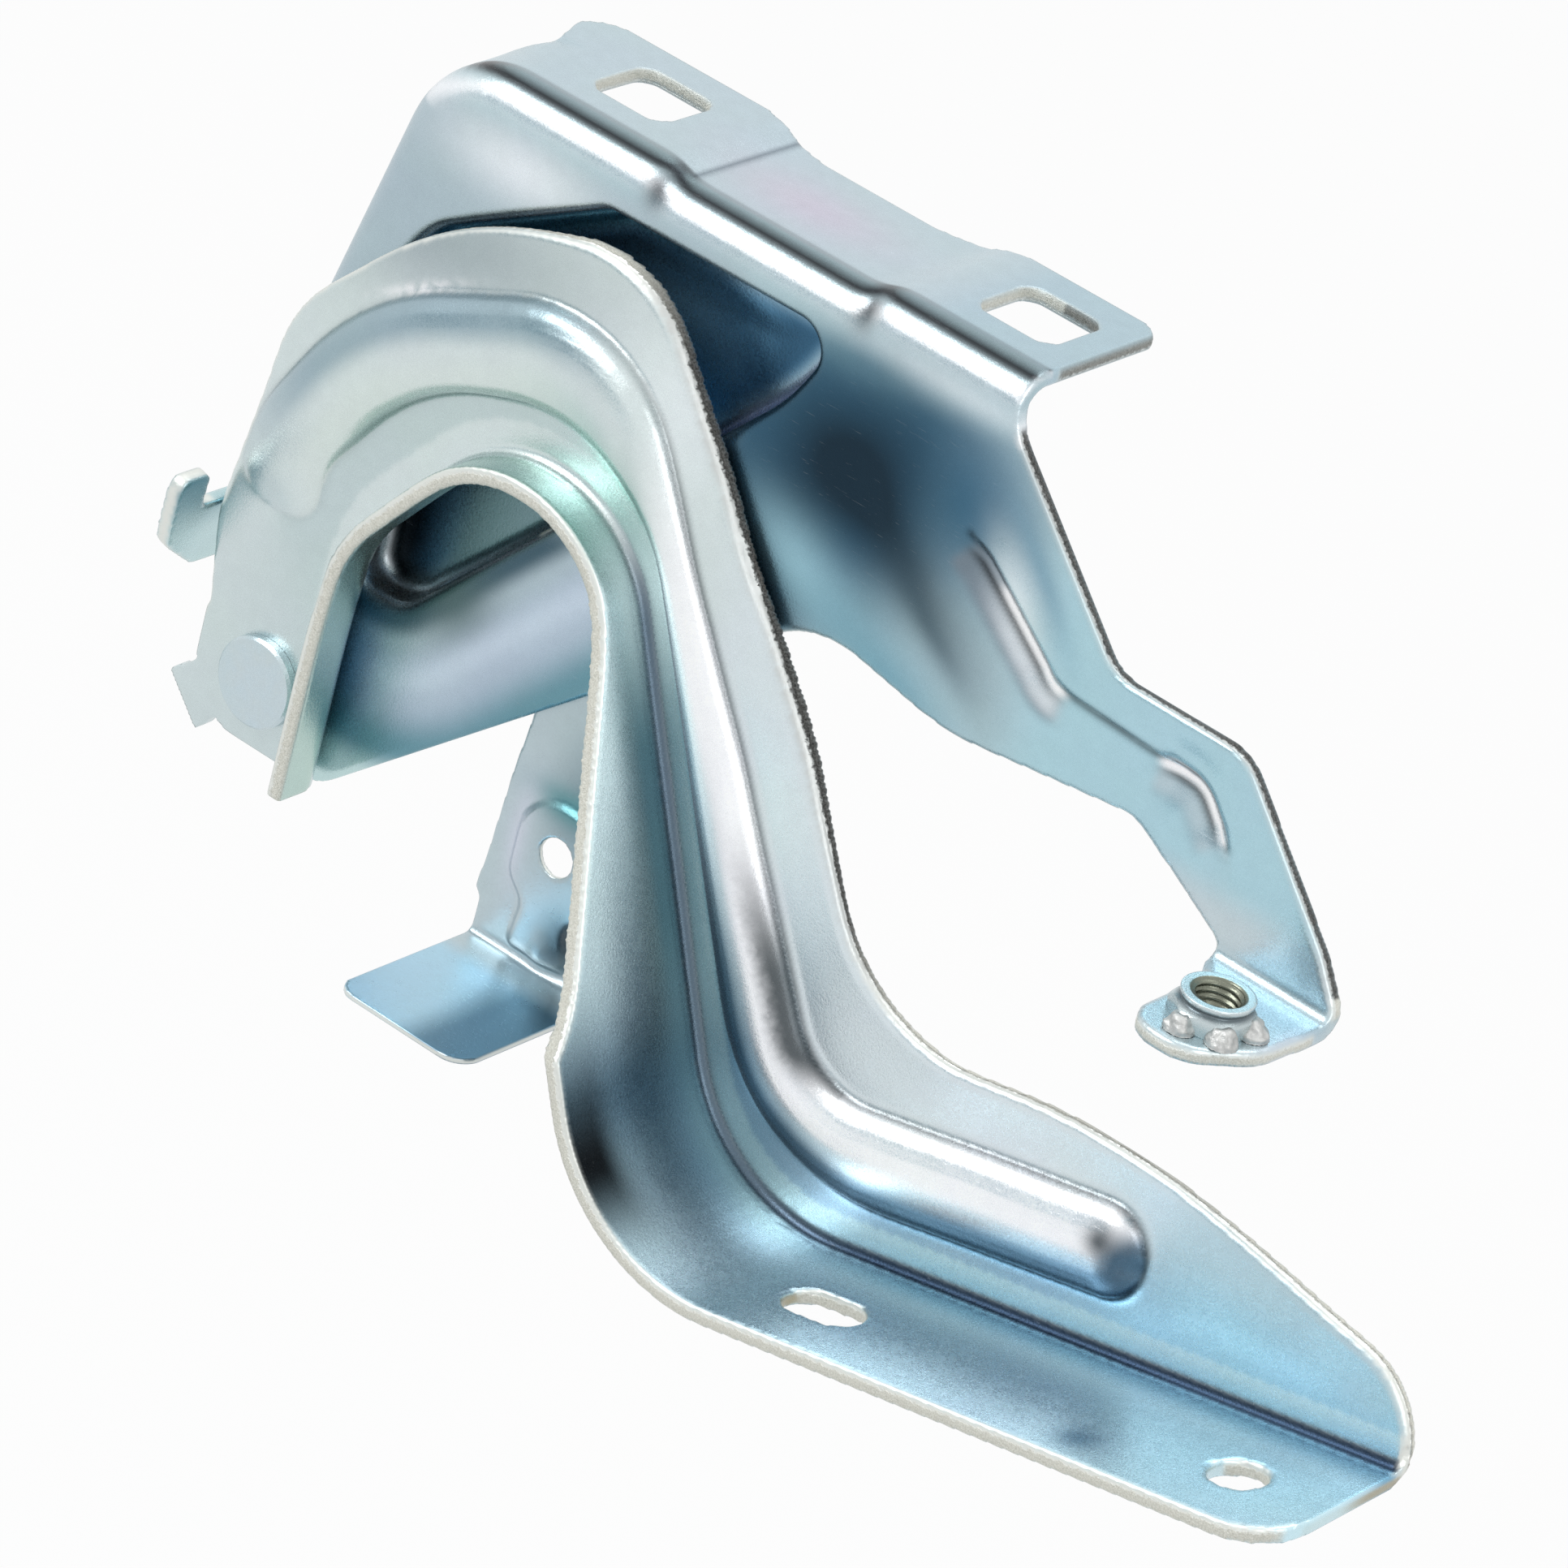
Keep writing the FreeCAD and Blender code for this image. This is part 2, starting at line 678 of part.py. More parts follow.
def build_rivet():
    """Shoulder rivet: flat head in front, shank, and the tail formed over the washer."""
    head_back = arm_front_y - head_gap
    head = cylinder(rivet_head, head_back - rivet_head_height, head_back)
    rim = [e for e in head.Edges if flat_at(e, head_back - rivet_head_height)]
    head = head.makeChamfer(rivet_edge, rim)
    seat = web_back_y + washer_thickness
    shank = cylinder(rivet_shank, head_back - 0.5, seat + 0.5)
    tail = cylinder(tail_diameter, seat, seat + tail_height)
    back_rim = [e for e in tail.Edges if flat_at(e, seat + tail_height)]
    tail = tail.makeChamfer(tail_dome, back_rim)
    return head.fuse(shank).fuse(tail).removeSplitter()


def ring(outer, inner, y_from, y_to):
    """A plain ring on the pivot axis."""
    return cylinder(outer, y_from, y_to).cut(cylinder(inner, y_from - 1, y_to + 1))


def build_nut():
    """Hexagon weld nut with a round collar, standing on the tab."""
    base = V(nut_x, web_front_y + nut_y, tab_drop)
    across = nut_flats / math.sqrt(3)
    corners = []
    for i in range(7):
        a = math.radians(60 * i + nut_turn)
        corners.append(base + V(across * math.cos(a), across * math.sin(a), 0))
    hexagon = Part.Face(Part.makePolygon(corners)).extrude(V(0, 0, nut_height))
    shoulder = nut_height - nut_collar_height
    cone = Part.makeCone(across * 1.25, nut_collar / 2, shoulder, base)
    collar = Part.makeCylinder(nut_collar / 2, nut_height, base)
    nut = hexagon.common(cone.fuse(collar))
    nut = nut.cut(Part.makeCylinder(nut_thread / 2, nut_height, base))
    top = base + V(0, 0, nut_height - 0.6)
    return nut.cut(Part.makeCone(nut_thread / 2, nut_thread / 2 + 0.6, 0.6, top))


def build_nut_welds(nut):
    """Weld metal at three corners of the nut, between the nut and the tab."""
    across = nut_flats / math.sqrt(3)
    lumps = []
    for step in (-1, 0, 1):
        a = math.radians(nut_turn + 60 * step)
        x = nut_x + (across + 0.2) * math.cos(a)
        y = web_front_y + nut_y + (across + 0.2) * math.sin(a)
        lump = Part.makeCone(weld_radius, 0.4 * weld_radius, 0.9 * weld_radius, V(x, y, tab_drop))
        lumps.append(lump.cut(nut))
    return Part.makeCompound(lumps)


os.makedirs("parts", exist_ok=True)
thrust_face = arm_back_y + head_gap
weld_nut = build_nut()
nodes = {
    "body_bracket": build_bracket(),
    "hinge_arm": build_arm(),
    "support_leg": build_support_leg(),
    "pivot_rivet": build_rivet(),
    "pivot_bush": ring(bush_outer, rivet_shank + 2 * bush_clearance, arm_front_y, arm_back_y),
    "thrust_washer": ring(thrust_diameter, seat_bore, thrust_face, web_front_y),
    "rivet_washer": ring(washer_diameter, seat_bore, web_back_y, web_back_y + washer_thickness),
    "weld_nut": weld_nut,
    "nut_welds": build_nut_welds(weld_nut),
}
for name, shape in nodes.items():
    shape.exportStep("parts/" + name + ".step")
    box = shape.BoundBox
    size = "%.1f x %.1f x %.1f" % (box.XLength, box.YLength, box.ZLength)
    print(name, shape.isValid(), len(shape.Solids), size)
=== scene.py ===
import math

import bpy
import numpy as np
from mathutils import Matrix, Vector, noise


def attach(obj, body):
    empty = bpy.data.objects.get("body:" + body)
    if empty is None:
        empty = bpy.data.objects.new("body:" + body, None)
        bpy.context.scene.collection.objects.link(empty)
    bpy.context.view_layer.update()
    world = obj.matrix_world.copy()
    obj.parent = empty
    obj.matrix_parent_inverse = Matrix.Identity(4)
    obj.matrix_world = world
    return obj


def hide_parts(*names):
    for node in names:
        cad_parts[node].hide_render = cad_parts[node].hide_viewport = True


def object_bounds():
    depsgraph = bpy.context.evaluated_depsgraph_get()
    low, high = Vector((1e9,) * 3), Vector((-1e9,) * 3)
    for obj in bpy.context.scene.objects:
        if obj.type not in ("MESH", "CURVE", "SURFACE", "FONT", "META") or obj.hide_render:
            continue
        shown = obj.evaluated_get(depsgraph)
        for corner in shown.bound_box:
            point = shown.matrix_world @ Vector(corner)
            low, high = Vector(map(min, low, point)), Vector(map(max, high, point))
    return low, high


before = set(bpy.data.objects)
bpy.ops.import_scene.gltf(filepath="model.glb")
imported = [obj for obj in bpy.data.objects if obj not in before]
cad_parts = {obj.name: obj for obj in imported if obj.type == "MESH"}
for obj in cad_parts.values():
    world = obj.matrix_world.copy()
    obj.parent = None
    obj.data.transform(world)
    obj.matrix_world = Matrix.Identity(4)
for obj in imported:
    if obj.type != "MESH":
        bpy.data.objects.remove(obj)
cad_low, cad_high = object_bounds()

scene = bpy.context.scene

# Millimetres in a metre. Shapes are worked out in millimetres of the row frame, lamps, card and
# floor in metres.
MM = 1000.0

# The photograph's long-lens view: lens, place in metres, and the picture's right and up.
CAMERA_LENS = 201.43
CAMERA_AT = (0.69682, -1.07480, 0.58304)
CAMERA_RIGHT = (0.75185, 0.61924, 0.22640)
CAMERA_UP = (-0.46157, 0.24912, 0.85141)

# The pivot axis, the planes of the arm and of the bracket's web, and the sheets' thickness.
PIVOT_X = -73.0
PIVOT_Z = -121.0
ARM_BACK = -22.0
ARM_FRONT = -25.0
WEB_FRONT = -21.0
WEB_BACK = -18.0
SHEET = 3.0
LEG_SHEET = 1.2

# The arm: rise of the bonnet flange for each millimetre, height of the bead, radius of the fold
# on its inside, and how far the sheared edge leans out and is rolled in.
SLOPE = 0.2027
BEAD_RISE = 5.0
FOLD_RADIUS = 3.5
EDGE_LEAN = 1.9
EDGE_ROLL = 0.7

# The bracket: how far the leg's dent goes in along its line and at its slivers, and how far the
# top flange's free end is moved.
DENT = 0.45
SLIVER = 1.5
END_TRIM = 1.9

# The axes of the thin leg's hole and of the weld nut, and the top of the tab that carries it.
LEG_HOLE_X = -10.0
LEG_HOLE_Z = -123.4
NUT_X = 127.2
NUT_Y = -37.6
TAB_TOP = -72.0
THREAD_PITCH = 1.25

# The squares that pressings, thin leg and fasteners are remeshed to, and the angle in radians
# that parts two weld lumps round the nut.
PRESSING_GRID = 0.62
LEG_GRID = 0.42
FASTENER_GRID = 0.16
LUMP_GAP = 0.15

# How far below the part the floor lies, in metres, so that the opened arm clears it.
FLOOR_DROP = 0.21


def camera():
    """The photograph's view, from the right, above and slightly rolled."""
    data = bpy.data.cameras.new("camera")
    data.sensor_width = 36.0
    data.lens = CAMERA_LENS
    data.clip_start = 0.05
    data.clip_end = 20.0
    cam = bpy.data.objects.new("camera", data)
    right, up = Vector(CAMERA_RIGHT), Vector(CAMERA_UP)
    place = Matrix.Identity(4)
    for column, axis in enumerate((right, up, right.cross(up), CAMERA_AT)):
        for row in range(3):
            place[row][column] = axis[row]
    cam.matrix_world = place
    scene.collection.objects.link(cam)
    scene.camera = cam


# shapes

def smooth(t):
    """0 below 0, 1 above 1, and a soft S between."""
    t = np.clip(t, 0.0, 1.0)
    return t * t * (3 - 2 * t)


def above(v, start, width):
    """0 up to a start, then a soft S up to 1 over a width."""
    return smooth((v - start) / width)


def below(v, start, width):
    """0 from a start on, and a soft S up to 1 over a width below it."""
    return smooth((start - v) / width)


def bell(v, centre, width):
    """A soft hill of height 1 along one measure."""
    return np.exp(-((v - centre) / width) ** 2)


def bump_at(x, z, cx, cz, rx, rz, turn=0.0):
    """A soft round hill of height 1 at a place, with its own two radii and turn."""
    a = math.radians(turn)
    u = ((x - cx) * math.cos(a) + (z - cz) * math.sin(a)) / rx
    v = (-(x - cx) * math.sin(a) + (z - cz) * math.cos(a)) / rz
    return np.exp(-(u * u + v * v))


def hills(x, z, *rows):
    """The sum of soft round hills, each given as its height and its place, radii and turn."""
    return sum(height * bump_at(x, z, *place) for height, *place in rows)


def rounded(points, closed, steps=10):
    """Points along the lines and tangent arcs of a path of corners (x, z, radius)."""
    out = []
    count = len(points)
    for i, p in enumerate(points):
        at = np.array(p[:2], float)
        if (not closed and i in (0, count - 1)) or len(p) < 3 or p[2] <= 0:
            out.append(at)
            continue
        a = at - np.array(points[i - 1][:2], float)
        b = np.array(points[(i + 1) % count][:2], float) - at
        a /= np.linalg.norm(a)
        b /= np.linalg.norm(b)
        turn = math.atan2(a[0] * b[1] - a[1] * b[0], a @ b)
        run = p[2] * math.tan(abs(turn) / 2)
        inward = (b - a) / np.linalg.norm(b - a)
        centre = at + inward * p[2] / math.cos(turn / 2)
        start = at - a * run - centre
        for k in range(steps + 1):
            w = turn * k / steps
            c, s = math.cos(w), math.sin(w)
            spoke = np.array([c * start[0] - s * start[1], s * start[0] + c * start[1]])
            out.append(centre + spoke)
    return np.array(out)


def measure(x, z, path, closed=False):
    """For each (x, z): distance to the path, side (+ on its left) and share of its length."""
    best = np.full(len(x), 1e9)
    side = np.zeros(len(x))
    along = np.zeros(len(x))
    ends = np.vstack([path[1:], path[:1]]) if closed else path[1:]
    starts = path if closed else path[:-1]
    length = np.linalg.norm(ends - starts, axis=1)
    total = length.sum()
    gone = 0.0
    for a, b, size in zip(starts, ends, length):
        if size < 1e-9:
            continue
        d = (b - a) / size
        u = x - a[0]
        v = z - a[1]
        t = np.clip(u * d[0] + v * d[1], 0, size)
        du = u - t * d[0]
        dv = v - t * d[1]
        dist = np.hypot(du, dv)
        near = dist < best
        best = np.where(near, dist, best)
        side = np.where(near, d[0] * v - d[1] * u, side)
        along = np.where(near, (gone + t) / total, along)
        gone += size
    return best, np.sign(side), along


def inside(x, z, loop):
    """True for each (x, z) inside a closed loop."""
    hit = np.zeros(len(x), bool)
    for a, b in zip(loop, np.vstack([loop[1:], loop[:1]])):
        if abs(a[1] - b[1]) < 1e-12:
            continue
        cross = (z > a[1]) != (z > b[1])
        at = a[0] + (z - a[1]) * (b[0] - a[0]) / (b[1] - a[1])
        hit ^= cross & (x < at)
    return hit


def srgb(*levels):
    """A colour given in screen levels from 0 to 255, as Blender's linear numbers."""
    return np.array([
        ((v / 255 + 0.055) / 1.055) ** 2.4 if v > 10 else v / 255 / 12.92 for v in levels
    ])


def grain(co, scale, seed):
    """Soft noise for each point, from -1 to 1."""
    return np.array([
        noise.noise(Vector((c[0] * scale + seed, c[1] * scale, c[2] * scale))) for c in co
    ])


class Skin:
    """A CAD node's mesh as even small squares, in millimetres, to be shaped and dressed."""

    def __init__(self, node, name, size):
        rough = bpy.data.objects.new(name + "_rough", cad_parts[node].data.copy())
        scene.collection.objects.link(rough)
        weld = rough.modifiers.new("weld", "WELD")
        weld.merge_threshold = 1e-6
        even = rough.modifiers.new("even", "REMESH")
        even.mode = "VOXEL"
        even.voxel_size = size / MM
        graph = bpy.context.evaluated_depsgraph_get()
        self.mesh = bpy.data.meshes.new_from_object(rough.evaluated_get(graph))
        bpy.data.objects.remove(rough)
        self.node = node
        self.name = name

        count = len(self.mesh.vertices)
        flat = np.empty(count * 3)
        self.mesh.vertices.foreach_get("co", flat)
        self.co = flat.reshape(-1, 3) * MM
        pairs = np.empty(len(self.mesh.edges) * 2, int)
        self.mesh.edges.foreach_get("vertices", pairs)
        self.pairs = pairs.reshape(-1, 2)
        self.degree = np.bincount(pairs, minlength=count).astype(float)
        # the squares' steps are smoothed in and out again, so that the piece doesn't shrink
        for share in (0.5, -0.52, 0.5, -0.52):
            for axis in range(3):
                self.co[:, axis] = self.relax(self.co[:, axis], 1, share)
        self.refresh()

    def relax(self, values, rounds, share=0.5, where=1.0):
        """Values moved towards the mean of their neighbours."""
        a, b = self.pairs[:, 0], self.pairs[:, 1]
        for _ in range(rounds):
            total = np.bincount(a, values[b], len(values)) + np.bincount(b, values[a], len(values))
            values = values + where * share * (total / self.degree - values)
        return values

    def refresh(self):
        """Writes the points back to the mesh and reads its normals."""
        self.mesh.vertices.foreach_set("co", (self.co / MM).ravel())
        self.mesh.update()
        flat = np.empty(len(self.co) * 3)
        self.mesh.vertex_normals.foreach_get("vector", flat)
        self.normal = flat.reshape(-1, 3)
        self.x, self.y, self.z = self.co[:, 0], self.co[:, 1], self.co[:, 2]

    def paint(self, name, values):
        """A number for each point, for the material to read."""
        layer = self.mesh.attributes.new(name, "FLOAT", "POINT")
        layer.data.foreach_set("value", np.asarray(values, dtype=np.float32))

    def edges(self, cut, across, torn):
        """How far each point is sheared edge, how far across the sheet, and how torn."""
        self.paint("cut", cut)
        self.paint("across", across)
        self.paint("torn", torn)

    def coat(self, *levels):
        """One screen colour for every point, to be painted over."""
        self.colour = np.tile(srgb(*levels), (len(self.co), 1))

    def lay(self, levels, weight):
        """Paints a screen colour over the coat, by a weight or mask for each point."""
        w = np.clip(np.asarray(weight, float), 0, 1)[:, None]
        self.colour = self.colour * (1 - w) + srgb(*levels)[None, :] * w

    def tint_and_painted_light(self, rounds=0):
        """The coat, with its painted reflections, highlights and shade, as a colour for each point,
        for the material to read.
        """
        layer = self.mesh.attributes.new("tint_and_painted_light", "FLOAT_COLOR", "POINT")
        full = np.ones((len(self.co), 4), dtype=np.float32)
        for k in range(3):
            full[:, k] = self.relax(self.colour[:, k], rounds)
        layer.data.foreach_set("color", full.ravel())

    def done(self, body, slot, material):
        """The finished piece, riding on its body in place of the CAD node."""
        self.co = np.clip(self.co, np.array(cad_low) * MM, np.array(cad_high) * MM)
        self.mesh.vertices.foreach_set("co", (self.co / MM).ravel())
        self.mesh.materials.clear()
        self.mesh.materials.append(material)
        self.mesh.polygons.foreach_set("use_smooth", np.ones(len(self.mesh.polygons), bool))
        self.mesh.update()
        piece = bpy.data.objects.new(self.name, self.mesh)
        scene.collection.objects.link(piece)
        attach(piece, body)
        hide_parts(self.node)


# the arm

def arm_paths():
    """Lines of the arm from the pivot: its fold, its outer edge and the foot of its bead."""
    fold = [
        (13.2, -12.8),
        (13.6, 38.5, 21.0),
        (54.9, 86.2, 25.4),
        (114.5, -38.7, 32.0),
        (268.5, -38.7 + SLOPE * 154.0),
    ]
    outer = [
        (248.5, -8.0),
        (248.5, 1.6, 16.0),
        (187.0, 13.4, 135.0),
        (133.6, 4.3, 32.0),
        (108.0, 43.4, 120.0),
        (56.0, 107.6, 24.0),
        (17.7, 98.0, 70.0),
        (-11.0, 67.0, 28.0),
        (-17.2, 24.0, 20.0),
        (-14.6, 8.0, 25.0),
    ]
    bead_x = 195.0
    bead = [
        (-14.5, 31.0, 6.8),
        (-13.2, 46.5, 35.0),
        (3.8, 77.0, 55.0),
        (55.7, 100.7, 29.0),
        (127.7, -9.0, 17.0),
        (bead_x, -9.0 + SLOPE * (bead_x - 127.7), 8.0),
        (bead_x, -29.2 + 1.08 * SLOPE * (bead_x - 118.1), 8.0),
        (118.1, -29.2, 36.0),
        (62.2, 82.3, 30.0),
        (19.2, 66.9, 42.0),
        (3.5, 43.1, 16.0),
        (3.5, 31.0, 6.5),
    ]
    return rounded(fold, False), rounded(outer, False), rounded(bead, True)


def swell(t):
    """Rise of a round flank, 0 at its foot and 1 at its crest."""
    t = np.clip(t, 0, 1)
    return np.sqrt(np.maximum(0, 1 - (1 - t) ** 2))


def shape_arm():
    """The arm's pressing: rounded bead, slightly wavy web and leaning sheared edges."""
    skin = Skin("hinge_arm", "arm_pressing", PRESSING_GRID)
    fold, outer, bead = arm_paths()
    x = skin.x - PIVOT_X
    z = skin.z - PIVOT_Z
    from_fold, side, _ = measure(x, z, fold)
    from_fold = from_fold * side
    from_edge = measure(x, z, outer)[0]
    within = inside(x, z, bead)
    web = (skin.y > -31.5) & (from_fold > 6.0)
    front = skin.normal[:, 1] < 0

    # the bead, from the distances to its outer and inner foot
    half = len(bead) // 2
    d_out = measure(x, z, bead[:half])[0]
    d_in = measure(x, z, bead[half:])[0]
    foot = above(x, 60, 24) * below(z, 95, 30)
    w_out = 8.0 + 1.6 * foot
    w_in = 4.5 + 5.2 * foot
    tail = 0.25 + 0.75 * np.maximum(above(z, 36, 26), above(x, 12, 10))

    from_root = np.minimum(d_out, d_in)
    on_bead = web & within
    hollow = on_bead & ~front & (from_root > 1.0)
    for face, plane, inset in ((on_bead & front, ARM_FRONT, 0.0), (hollow, ARM_BACK, 1.6)):
        flanks = swell((d_out - inset) / w_out) * swell((d_in - inset) / w_in)
        skin.co[:, 1] = np.where(face, plane - BEAD_RISE * flanks * tail, skin.co[:, 1])
    near = web & (within | (from_root < 3))
    skin.co[:, 1] = skin.relax(skin.co[:, 1], 4, 0.5, near)

    # soft waves of the web, none at the pivot and at the fold
    free = above(from_fold, 5, 8) * above(np.hypot(x, z), 19, 16)
    wave = hills(
        x, z,
        (0.35, 20, 88, 26, 9, 8),
        (-0.45, 76, 62, 9, 30, -60),
        (0.40, 97, 35, 10, 26, -60),
        (-0.45, 130, -8, 22, 10, 10),
        (0.50, 170, 3, 22, 7, 5),
        (-0.35, 212, -2, 16, 10, 20),
    )
    wave = wave + 0.15 * np.sin(x * 0.19 + z * 0.07) * np.cos(z * 0.13 - x * 0.05)
    skin.co[:, 1] += np.where(skin.y > -33, wave * free, 0)

    # a tighter fold on the inside, and a rounder left shoulder of the hook
    skin.refresh()
    from_arc = np.hypot(from_fold - FOLD_RADIUS, skin.y - ARM_FRONT + FOLD_RADIUS) - FOLD_RADIUS
    inner_arc = (np.abs(from_arc) < 0.9) & (from_fold < 4.2)
    inner_arc = inner_arc & (skin.y > -29.3) & (skin.y < -24.4)
    bend = np.abs(skin.normal[:, 1])
    bend = 2 * bend * np.sqrt(np.maximum(0, 1 - bend * bend))
    skin.co -= skin.normal * (0.72 * bend ** 2 * inner_arc)[:, None]
    shift = 1.3 * bump_at(x, z, 14.5, 40, 15, 15) * below(from_fold, 15, 12)
    for axis, share in ((0, 0.937), (2, -0.349)):
        skin.co[:, axis] += share * shift

    # the sheared outer edge leans out to the back, and its front corner is rolled in
    skin.refresh()
    across = np.clip((ARM_BACK - skin.y) / SHEET, 0, 1)
    flat = np.hypot(skin.normal[:, 0], skin.normal[:, 2])
    lean = np.clip(1 - from_edge / 1.3, 0, 1) * above(z, 20, 30) * above(x, 30, 30)
    lean = lean * (skin.y > -26)
    push = EDGE_LEAN * lean * (1 - across) / np.maximum(flat, 0.3)
    for axis in (0, 2):
        skin.co[:, axis] += skin.normal[:, axis] * push
    roll = np.clip(1 - from_edge / 1.6, 0, 1) ** 2 * (skin.y < -23.5) * (skin.y > -27)
    skin.co[:, 1] += EDGE_ROLL * roll

    # marks for the material
    skin.refresh()
    normal = skin.normal
    edge_web = (from_edge < 2.6) * below(np.abs(normal[:, 1]), 0.84, 0.2) * (skin.y > -25.0)
    edge_web = np.maximum(edge_web, (from_edge < 1.3) & (skin.y > -24.4) & (skin.y < -22.4))
    edge_rim = above(-normal[:, 1], 0.4, 0.2) * (skin.y < -31.7) * (from_fold < 0.8)
    cut = np.maximum(edge_web, edge_rim)
    over = np.where(edge_rim > edge_web, np.clip((from_fold + SHEET) / SHEET, 0, 1), across)
    torn = above(x, 44, 24) * above(z, 4, 18) * (from_edge < 3)
    skin.edges(skin.relax(cut, 1), over, torn)

    # colours of the passivated plate, overlaid with painted reflections, highlights and shade
    depth = ARM_FRONT - skin.y
    flange = (from_fold < 3.4) & (skin.y < -26.5)
    right = above(x, 58, 16)
    low = below(z, 8, 40)
    foot_end = above(x, 118, 40)
    skin.coat(214, 226, 225)
    # margin outside the bead, shared softly with the strip between bead and fold, painted with
    # darker, lighter and bluer reflections
    flat_web = web & ~within
    outer_share = above(d_in - d_out, -7, 14)
    margin = flat_web * outer_share
    skin.lay((170, 184, 186), margin * bump_at(x, z, 14, 92, 34, 12, 10))
    skin.lay((232, 242, 242), margin * bump_at(x, z, 66, 84, 12, 14))
    skin.lay((220, 231, 234), margin * above(x, 78, 20))
    skin.lay((196, 224, 234), margin * above(x, 170, 50))
    skin.lay((160, 196, 210), margin * above(x, 198, 24) * below(z, 4, 16))
    spots = np.stack([x, z, 0 * x], 1)
    scrape = bump_at(x, z, 13.5, 81.8, 8, 0.9, 31) * (grain(spots, 0.8, 4.0) > -0.1)
    skin.lay((250, 252, 252), scrape * web)
    # the bead, painted with its light and shade: grey painted reflection on the outer flank, pale
    # crest with a white painted highlight, mint painted shade at the neck's shoulder, slate painted
    # reflection on the inner flank in neck and foot, and a painted shadow on the outer flank at the
    # elbow
    skin.lay((158, 180, 188), on_bead * tail * below(d_out, 9, 5) * below(x, 60, 20))
    skin.lay((216, 228, 224), on_bead * above(d_out, 8, 5) * below(x, 70, 20))
    skin.lay((168, 200, 192), on_bead * bump_at(x, z, 58, 74, 12, 10) * above(d_out, 6, 6) * 0.8)
    crest = on_bead * above(x, 62, 20)
    skin.lay((250, 253, 254), crest)
    skin.lay((150, 182, 176), on_bead * bump_at(x, z, 66, 68, 8, 8) * above(d_out, 3, 4) * 0.8)
    slate = crest * below(d_in, 9.5, 5) * below(z, 44, 44) * above(d_in, -0.5, 1)
    skin.lay((74, 100, 118), slate * 0.95)
    shadow = crest * below(d_out - grain(spots, 2.4, 2.0), 6.0, 4)
    shadow = shadow * below(z, 30, 24) * above(z, -10, 6) * (x < 133)
    skin.lay((46, 58, 62), shadow * 0.92)
    # a dark painted reflection spot at the bead's end in the foot
    skin.lay((50, 62, 68), crest * bump_at(x, z, 187.5, -2.5, 2.6, 2.6) * 0.9)
    # strip between bead and fold, painted with its reflections and shade, darker towards the fold
    # on the right
    strip = flat_web * (z > -60) * (1 - outer_share)
    skin.lay((196, 212, 212), strip * below(x, 60, 20))
    skin.lay((172, 208, 200), strip * bump_at(x, z, 62, 66, 12, 10, -40) * 0.8)
    skin.lay((132, 166, 172), strip * right * below(z, 62, 30))
    skin.lay((176, 194, 206), strip * above(x, 96, 20))
    skin.lay((190, 220, 230), strip * above(x, 176, 30))
    # flange, painted with its reflections and shade: darker near the fold, a near-black painted
    # reflection by the rim at the elbow and a dark painted spot near the foot's end; the slot's
    # sheared walls keep their cream colour
    skin.lay((190, 214, 206), flange)
    skin.lay((170, 206, 200), flange * bump_at(x, z, 62, 64, 14, 14) * 0.8)
    skin.lay((226, 246, 246), flange * right)
    skin.lay((96, 134, 146), flange * right * below(depth, 12.5, 8) * below(z, 60, 30))
    skin.lay((196, 222, 230), flange * right * low * 0.8)
    skin.lay((74, 112, 130), flange * bell(z, -17, 15) * below(x, 130, 16) * right * 0.85)
    skin.lay((8, 14, 18), flange * bell(z, -24, 14) * below(x, 124, 14) * above(depth, 21, 8))
    skin.lay((104, 148, 168), flange * bump_at(x, z, 112, -38, 12, 14) * below(depth, 20, 12) * 0.7)
    skin.lay((194, 224, 236), flange * foot_end)
    skin.lay((126, 176, 202), flange * foot_end * below(depth, 10, 7))
    slot = (from_fold < -0.5) & (from_fold > -2.5) & (depth < 26) & (x > 118)
    skin.lay((172, 168, 146), slot)
    skin.lay((214, 244, 252), flange * above(x, 180, 50) * above(depth, 8, 10) * 0.8)
    skin.lay((90, 134, 160), flange * bump_at(x, depth, 207, 28, 4, 4) * 0.8)
    # the fold itself: painted shade with a thin light line
    infold = inner_arc * above(bend, 0.72, 0.2)
    skin.lay((60, 84, 104), infold * right * 0.9)
    skin.lay((30, 48, 70), infold * above(x, 110, 40) * 0.9)
    # roots of the bead as thin painted shade lines
    root = bell(from_root, 0, 0.5) * web
    root = root * (0.35 + 0.65 * above(x, 55, 25)) * tail
    skin.lay((36, 48, 54), root * 0.85)
    # the back is plain
    skin.lay((198, 214, 216), above(normal[:, 1], 0.2, 0.4) * 0.85)
    skin.tint_and_painted_light(1)
    return skin


# the bracket

